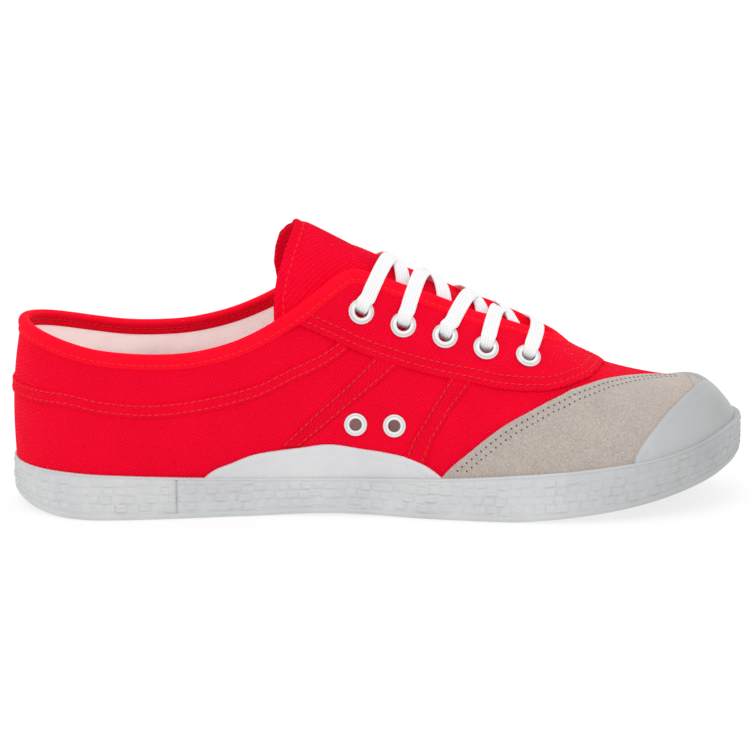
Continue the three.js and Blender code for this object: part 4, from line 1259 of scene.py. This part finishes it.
def build_foxing():
    loop, inward, at, around = even_loop(1500)
    x = loop[:, 0]
    low = bottom(x)
    top = foxing_top(x)
    bend = foxing_round(x)
    grid = []

    def add(move, z):
        grid.append(np.column_stack([loop + inward * (0 * x + move)[:, None], z]))

    add(PLATE_INSET - GAP, low + PLATE)
    add(PLATE_INSET - GAP, low)
    for turn in np.linspace(0, np.pi / 2, 6):
        add(bend * (1 - np.sin(turn)), low + bend * (1 - np.cos(turn)))
    drift = np.random.default_rng(3).normal(0, 0.25, 60)
    drift = np.interp(at, np.linspace(0, around, 60), drift)
    inner = loop[:, 1] < 0
    seam = bell(x - JOINT_AT, 0.45) * inner
    step = 0.35 * (np.abs(x - STEP_AT) < 1.2) * inner
    for share in np.linspace(0.01, 1, 36):
        z = low + bend + (top - WALL_LIP - low - bend) * share
        rim = np.clip(np.minimum(share / 0.05, (1 - share) / 0.09), 0, 1)
        height = basket(at + drift, z - low + 0.4 * drift)
        add(0.30 - RELIEF * (height - 0.15) * rim * (1 - seam) - step * rim + 0.8 * seam, z)
    for move, drop in [
        (0.10, 0.75), (0.02, 0.45), (0.25, 0.12), (0.75, 0), (inset(x) - GAP - 0.3, 0.15),
        (inset(x) - 0.1, 1.2), (inset(x) + 0.3, 4),
    ]:
        add(move, top - drop)
    faces = grid_faces(len(grid), len(x), closed=True)
    new_piece("foxing_wall", np.stack(grid), faces.tolist(), wall_rubber, "rubber_wall",
              replaces=["foxing"], weld=False)


# Ends of the middle line that the insole's grid closes on
INSOLE_FROM = 0.14 * LENGTH
INSOLE_TO = 0.82 * LENGTH


def build_insole():
    loop, inward = even_loop(240)[:2]
    rim = loop + inward * (inset(loop[:, 0]) + WALL + 2 * GAP)[:, None]
    centre = np.column_stack([np.clip(rim[:, 0], INSOLE_FROM, INSOLE_TO), swing(rim[:, 0])])
    seat = PLATE + GAP
    grid = [np.column_stack([rim, bottom(rim[:, 0]) + seat])]
    for share in np.linspace(0, 1, 26):
        place = rim + (centre - rim) * share
        dish = 1.6 * (1 - share) ** 3 + 0.5 * bell(place[:, 0] - 0.42 * LENGTH, 30)
        grid.append(np.column_stack([place, bottom(place[:, 0]) + seat + INSOLE - 1.2 + dish]))
    grid = np.stack(grid)
    faces = grid_faces(len(grid), len(loop), closed=True)[:, ::-1]
    new_sheets("insole_cloth", [(grid, faces, grid[..., :2])], pale_lining, "insole_cloth",
               replaces=["insole"])


# Eyelets
def eyelet_frame(x, z, side, out):
    way = side_place(x, z, side)
    centre = skin(x, way, out)
    normal = outward(x, way)
    along = flattened(unit(last_point(x + 1, way) - last_point(x - 1, way)), normal)
    return centre, along, np.cross(normal, along), normal


# Rings of an eyelet from the bore to the rim: distance past the hole or short of the rim, and height
LACE_EYELET = (
    [(0, -3.4), (0, -0.4), (0.02, 0.25), (0.22, 0.62), (0.62, 0.85), (1.1, 0.90), (1.6, 0.78)],
    [(0.45, 0.50), (0.12, 0.30), (0, 0.10), (0.05, -0.25)],
)
VENT_EYELET = (
    [(0, -2.8), (0, -0.5), (0.03, 0.1), (0.25, 0.42), (0.6, 0.55), (0.95, 0.42), (1.25, 0.30), (1.6, 0.38)],
    [(0.5, 0.52), (0.2, 0.45), (0, 0.12), (0.02, -0.3)],
)


def eyelet_sheets(places, out, scale, rings, count=48):
    """Turned rings at places of the side view, each given with its side."""
    profile = [(EYELET_HOLE + r, h) for r, h in rings[0]] + [(EYELET_OUTER - r, h) for r, h in rings[1]]
    angle = np.arange(count) * 2 * np.pi / count
    faces = grid_faces(len(profile), count, closed=True)
    across_cloth = np.repeat(np.linspace(0, 1, len(profile)), count)
    uv = np.column_stack([0 * across_cloth, across_cloth])
    sheets = []
    for (x, z), side in places:
        centre, along, across, normal = eyelet_frame(x, z, side, out)
        ring = np.cos(angle)[:, None] * along + np.sin(angle)[:, None] * across
        sheets.append((np.stack([centre + ring * (r * scale) + normal * h for r, h in profile]), faces, uv))
    return sheets


def build_eyelets():
    both = [(place, side) for side in (-1, 1) for place in EYELETS]
    new_sheets("lace_eyelets", eyelet_sheets(both, EYESTAY_OUT, 1, LACE_EYELET), eyelet_metal,
               "eyelet_metal",
               replaces=[f"eyelet_{word}_{i + 1}" for word in ("inner", "outer") for i in range(5)])
    vents = [(place, -1) for place in VENTS]
    new_sheets("vent_eyelets", eyelet_sheets(vents, 0.05, VENT_SCALE, VENT_EYELET), eyelet_metal,
               "eyelet_metal", replaces=["vent_eyelet_1", "vent_eyelet_2"])


# Laces
LACE_OVER = EYESTAY_OUT + GAP + 0.2
LACE_UNDER = TONGUE_OUT + GAP + 0.2
LACE_MEET = [(0.80, 0.95), (0.60, 0.95), (0.78, 0.92), (0.45, 0.75)]
BAR_BOW = 0.017 * LENGTH
RIM_CLEAR = EYELET_OUTER + 3 * GAP
EDGE_CLEAR = 1.4
LACE_RIBS = 5
RIBBON_SIDES = 28
# Distance past the eyelet's centre, height over the last and width, where the lace comes up
LACE_RISE = [(0.4, -2.6, 4.5), (0.4, -0.6, 4.5), (0.7, 1.1, 4.7), (1.7, 2.3, 5.1), (3.2, 2.9, 5.6)]


def bowed(share, meet):
    return share + 4 * (meet - 0.5) * share * (1 - share)


def ridge_way(x, z):
    return float(side_place(x, z, -1))


def turn_past(x, side, start, distance):
    """First turn a distance up the section from a start."""
    turns = np.linspace(start, 1, 300)
    return float(np.interp(distance, arc_along(last_point(x, ways_of(side, turns))), turns))


def throat_turn(x, side):
    turns = np.linspace(0.4, 1, 600)
    points = last_point(x, ways_of(side, turns))
    return float(turns[np.argmax(np.abs(points[:, 1] - swing(x)) <= throat(x))])


def ribbon_sheet(points, widths, across):
    """Flat woven tape: a rib pattern swept along points."""
    face = unit(np.cross(unit(np.gradient(points, axis=0)), across))
    angle = np.arange(RIBBON_SIDES) * 2 * np.pi / RIBBON_SIDES
    wide = np.sign(np.cos(angle)) * np.abs(np.cos(angle)) ** 0.32
    tall = np.sign(np.sin(angle)) * np.abs(np.sin(angle)) ** 0.55
    rib = 1 + 0.08 * np.cos(wide * np.pi * LACE_RIBS)
    half = widths[:, None, None] / 2
    squeeze = (LACE_WIDTH / widths[:, None, None]) ** 0.5
    grid = (points[:, None, :] + across[:, None, :] * wide[None, :, None] * half
            + face[:, None, :] * (tall * rib)[None, :, None] * (LACE_THICK / 2 * squeeze))
    along = np.broadcast_to(arc_along(points)[:, None], grid.shape[:2])
    uv = np.stack([along, half[..., 0] * wide[None, :]], -1)
    return grid, grid_faces(*grid.shape[:2], closed=True), uv


def smooth_path(points, count):
    """Even points on a smooth line through the given ones."""
    points = np.asarray(points, float)
    knots = arc_along(points[:, :3])
    fine = np.linspace(0, knots[-1], count)
    return np.stack([curve(np.column_stack([knots, column]).tolist())(fine) for column in points.T], 1)


def control(x, way, out, width):
    """Control point of a lace: place, normal and width."""
    return [*skin(x, way, out), *outward(x, way), width]


def rising(x, side, start, lean):
    """Where a lace comes up out of an eyelet."""
    return [(x + lean * distance, turn_past(x, side, start, distance), out, width)
            for distance, out, width in LACE_RISE]


def lace_controls(row, side):
    """Control points of one run of lace between two rows of eyelets."""
    x0, z0 = EYELETS[row]
    x1, z1 = EYELETS[row + 1]
    first = ridge_way(x0, z0)
    last = ridge_way(x1, z1)
    leave = throat_turn(x0, side)
    stop = 2 - turn_past(x1, -side, throat_turn(x1, -side), EDGE_CLEAR)
    weave_over, meet = (0.55, LACE_MEET[row][0]) if side < 0 else (-0.45, LACE_MEET[row][1])
    rows = rising(x0, side, first, 0.15)
    for way in np.linspace(turn_past(x0, side, first, RIM_CLEAR), stop, 14):
        x = x0 + (x1 - x0) * bowed((way - first) / (2 - first - last), meet)
        down = np.clip((way - leave) / (stop - leave), 0, 1)
        out = LACE_OVER + (LACE_UNDER - LACE_OVER) * down + weave_over * bell(way - 1, 0.07)
        rows.append((x, way, out + LACE_THICK / 2, LACE_WIDTH))
    rows.append((x1, 2 - turn_past(x1, -side, last, 2.0), -2.9, 4.6))
    return [control(x, ways_of(side, way), out, width) for x, way, out, width in rows]


def bar_controls(row):
    """Control points of the straight bar over one pair of eyelets."""
    x, z = EYELETS[row]
    low = ridge_way(x, z)
    inner, outer = [turn_past(x, side, low, RIM_CLEAR) for side in (-1, 1)]
    rows = rising(x, -1, low, 0.25)
    for way in np.linspace(inner, 2 - outer, 14):
        bow = BAR_BOW * math.sin(math.pi * (way - low) / (2 - 2 * low))
        rows.append((x + bow, way, LACE_OVER + LACE_THICK / 2, LACE_WIDTH))
    fall = [(place, 2 - way, out, width) for place, way, out, width in rising(x, 1, low, 0.25)]
    return [control(*row) for row in rows + fall[::-1]]


def lace_sheet(controls):
    path = smooth_path(controls, 150)
    points = path[:, :3]
    flat = np.roll(points, -6, 0) - np.roll(points, 6, 0)
    flat[-6:] = points[-7] - points[-20]
    flat[:14] = points[34] - points[12]
    across = unit(np.cross(unit(path[:, 3:6]), flat))
    across = unit(np.stack([running_mean(column, 6) for column in across.T], 1))
    return ribbon_sheet(points, path[:, 6], across)


def build_laces():
    runs = {f"lace_cross_{row + 1}": [lace_controls(row, side) for side in (-1, 1)] for row in range(4)}
    runs["lace_bar_5"] = [bar_controls(4)]
    for node, ribbons in runs.items():
        new_sheets("white_" + node, [lace_sheet(controls) for controls in ribbons], white_lace, "lace",
                   replaces=[node], weld=False)


# Camera, light and floor; the camera's target is in millimetres, its distance in metres
VIEW_TURN = math.radians(-4)
VIEW_HEIGHT = math.radians(13.5)
VIEW_TARGET = [142.0, 0, 50]
VIEW_DISTANCE = 1.4
VIEW_LENS = 171.2
PHOTO_WIDTH = 750
FLOOR_REACH = 6


def build_stage():
    floor_mesh = bpy.data.meshes.new("floor")
    corners = [(x * FLOOR_REACH, y * FLOOR_REACH, 0) for x, y in [(-1, -1), (1, -1), (1, 1), (-1, 1)]]
    floor_mesh.from_pydata(corners, [], [(0, 1, 2, 3)])
    floor = bpy.data.objects.new("floor", floor_mesh)
    scene.collection.objects.link(floor)
    nodes = Nodes("pale floor")
    floor_mesh.materials.append(nodes.finish(
        nodes.noise(2, 2), [(0.3, (0.29, 0.29, 0.29)), (0.7, (0.31, 0.31, 0.31))], Roughness=0.9,
        Specular_IOR_Level=0.1, Emission_Strength=0.70))
    scene.world = bpy.data.worlds.new("studio")
    scene.world.use_nodes = True
    back = scene.world.node_tree.nodes["Background"]
    back.inputs[0].default_value = (1, 1, 1, 1)
    back.inputs[1].default_value = 1.0
    for name, place, size, power in [
        ("key", (-0.35, -0.9, 1.25), 0.9, 2.6),
        ("top", (0.15, 0.25, 1.4), 1.1, 1.8),
        ("front", (0.9, -0.5, 0.7), 0.7, 0.5),
    ]:
        light = bpy.data.lights.new(name, "AREA")
        light.shape = "DISK"
        light.size = size
        light.energy = power
        lamp = bpy.data.objects.new(name, light)
        lamp.location = place
        lamp.rotation_euler = (Vector((0, 0, 0.04)) - Vector(place)).to_track_quat("-Z", "Y").to_euler()
        scene.collection.objects.link(lamp)


def build_camera():
    level = math.cos(VIEW_HEIGHT)
    back = Vector((math.sin(VIEW_TURN) * level, -math.cos(VIEW_TURN) * level, math.sin(VIEW_HEIGHT)))
    target = Vector(to_row(np.array(VIEW_TARGET)).tolist())
    data = bpy.data.cameras.new("camera")
    data.sensor_width = 36
    data.lens = VIEW_LENS
    data.shift_x = -1 / PHOTO_WIDTH
    data.shift_y = -5.7 / PHOTO_WIDTH
    data.clip_start = 0.05
    data.clip_end = 30
    camera = bpy.data.objects.new("camera", data)
    camera.location = target + back * VIEW_DISTANCE
    camera.rotation_euler = (-back).to_track_quat("-Z", "Y").to_euler()
    scene.collection.objects.link(camera)
    scene.camera = camera


scene.view_settings.view_transform = "Standard"
for build in [
    build_camera, build_stage, build_upper, build_binding, build_strip, build_straps, build_tongue,
    build_eyestay, build_mudguard, build_cap, build_guard, build_foxing, build_insole, build_eyelets,
    build_laces,
]:
    build()
beads_piece("red_stitches", stitch_sets["red"], red_thread, "canvas_upper")
# Painted shadow under the red stitches.
beads_piece("red_stitch_painted_shadows", holes_and_painted_shadows["red"], painted_stitch_shadow, "canvas_upper")
beads_piece("suede_stitches", stitch_sets["grey"], grey_thread, "suede")
beads_piece("suede_stitch_holes", holes_and_painted_shadows["grey"], grey_hole, "suede")
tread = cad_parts["outsole"]
tread.data.materials.clear()
tread.data.materials.append(tread_rubber)
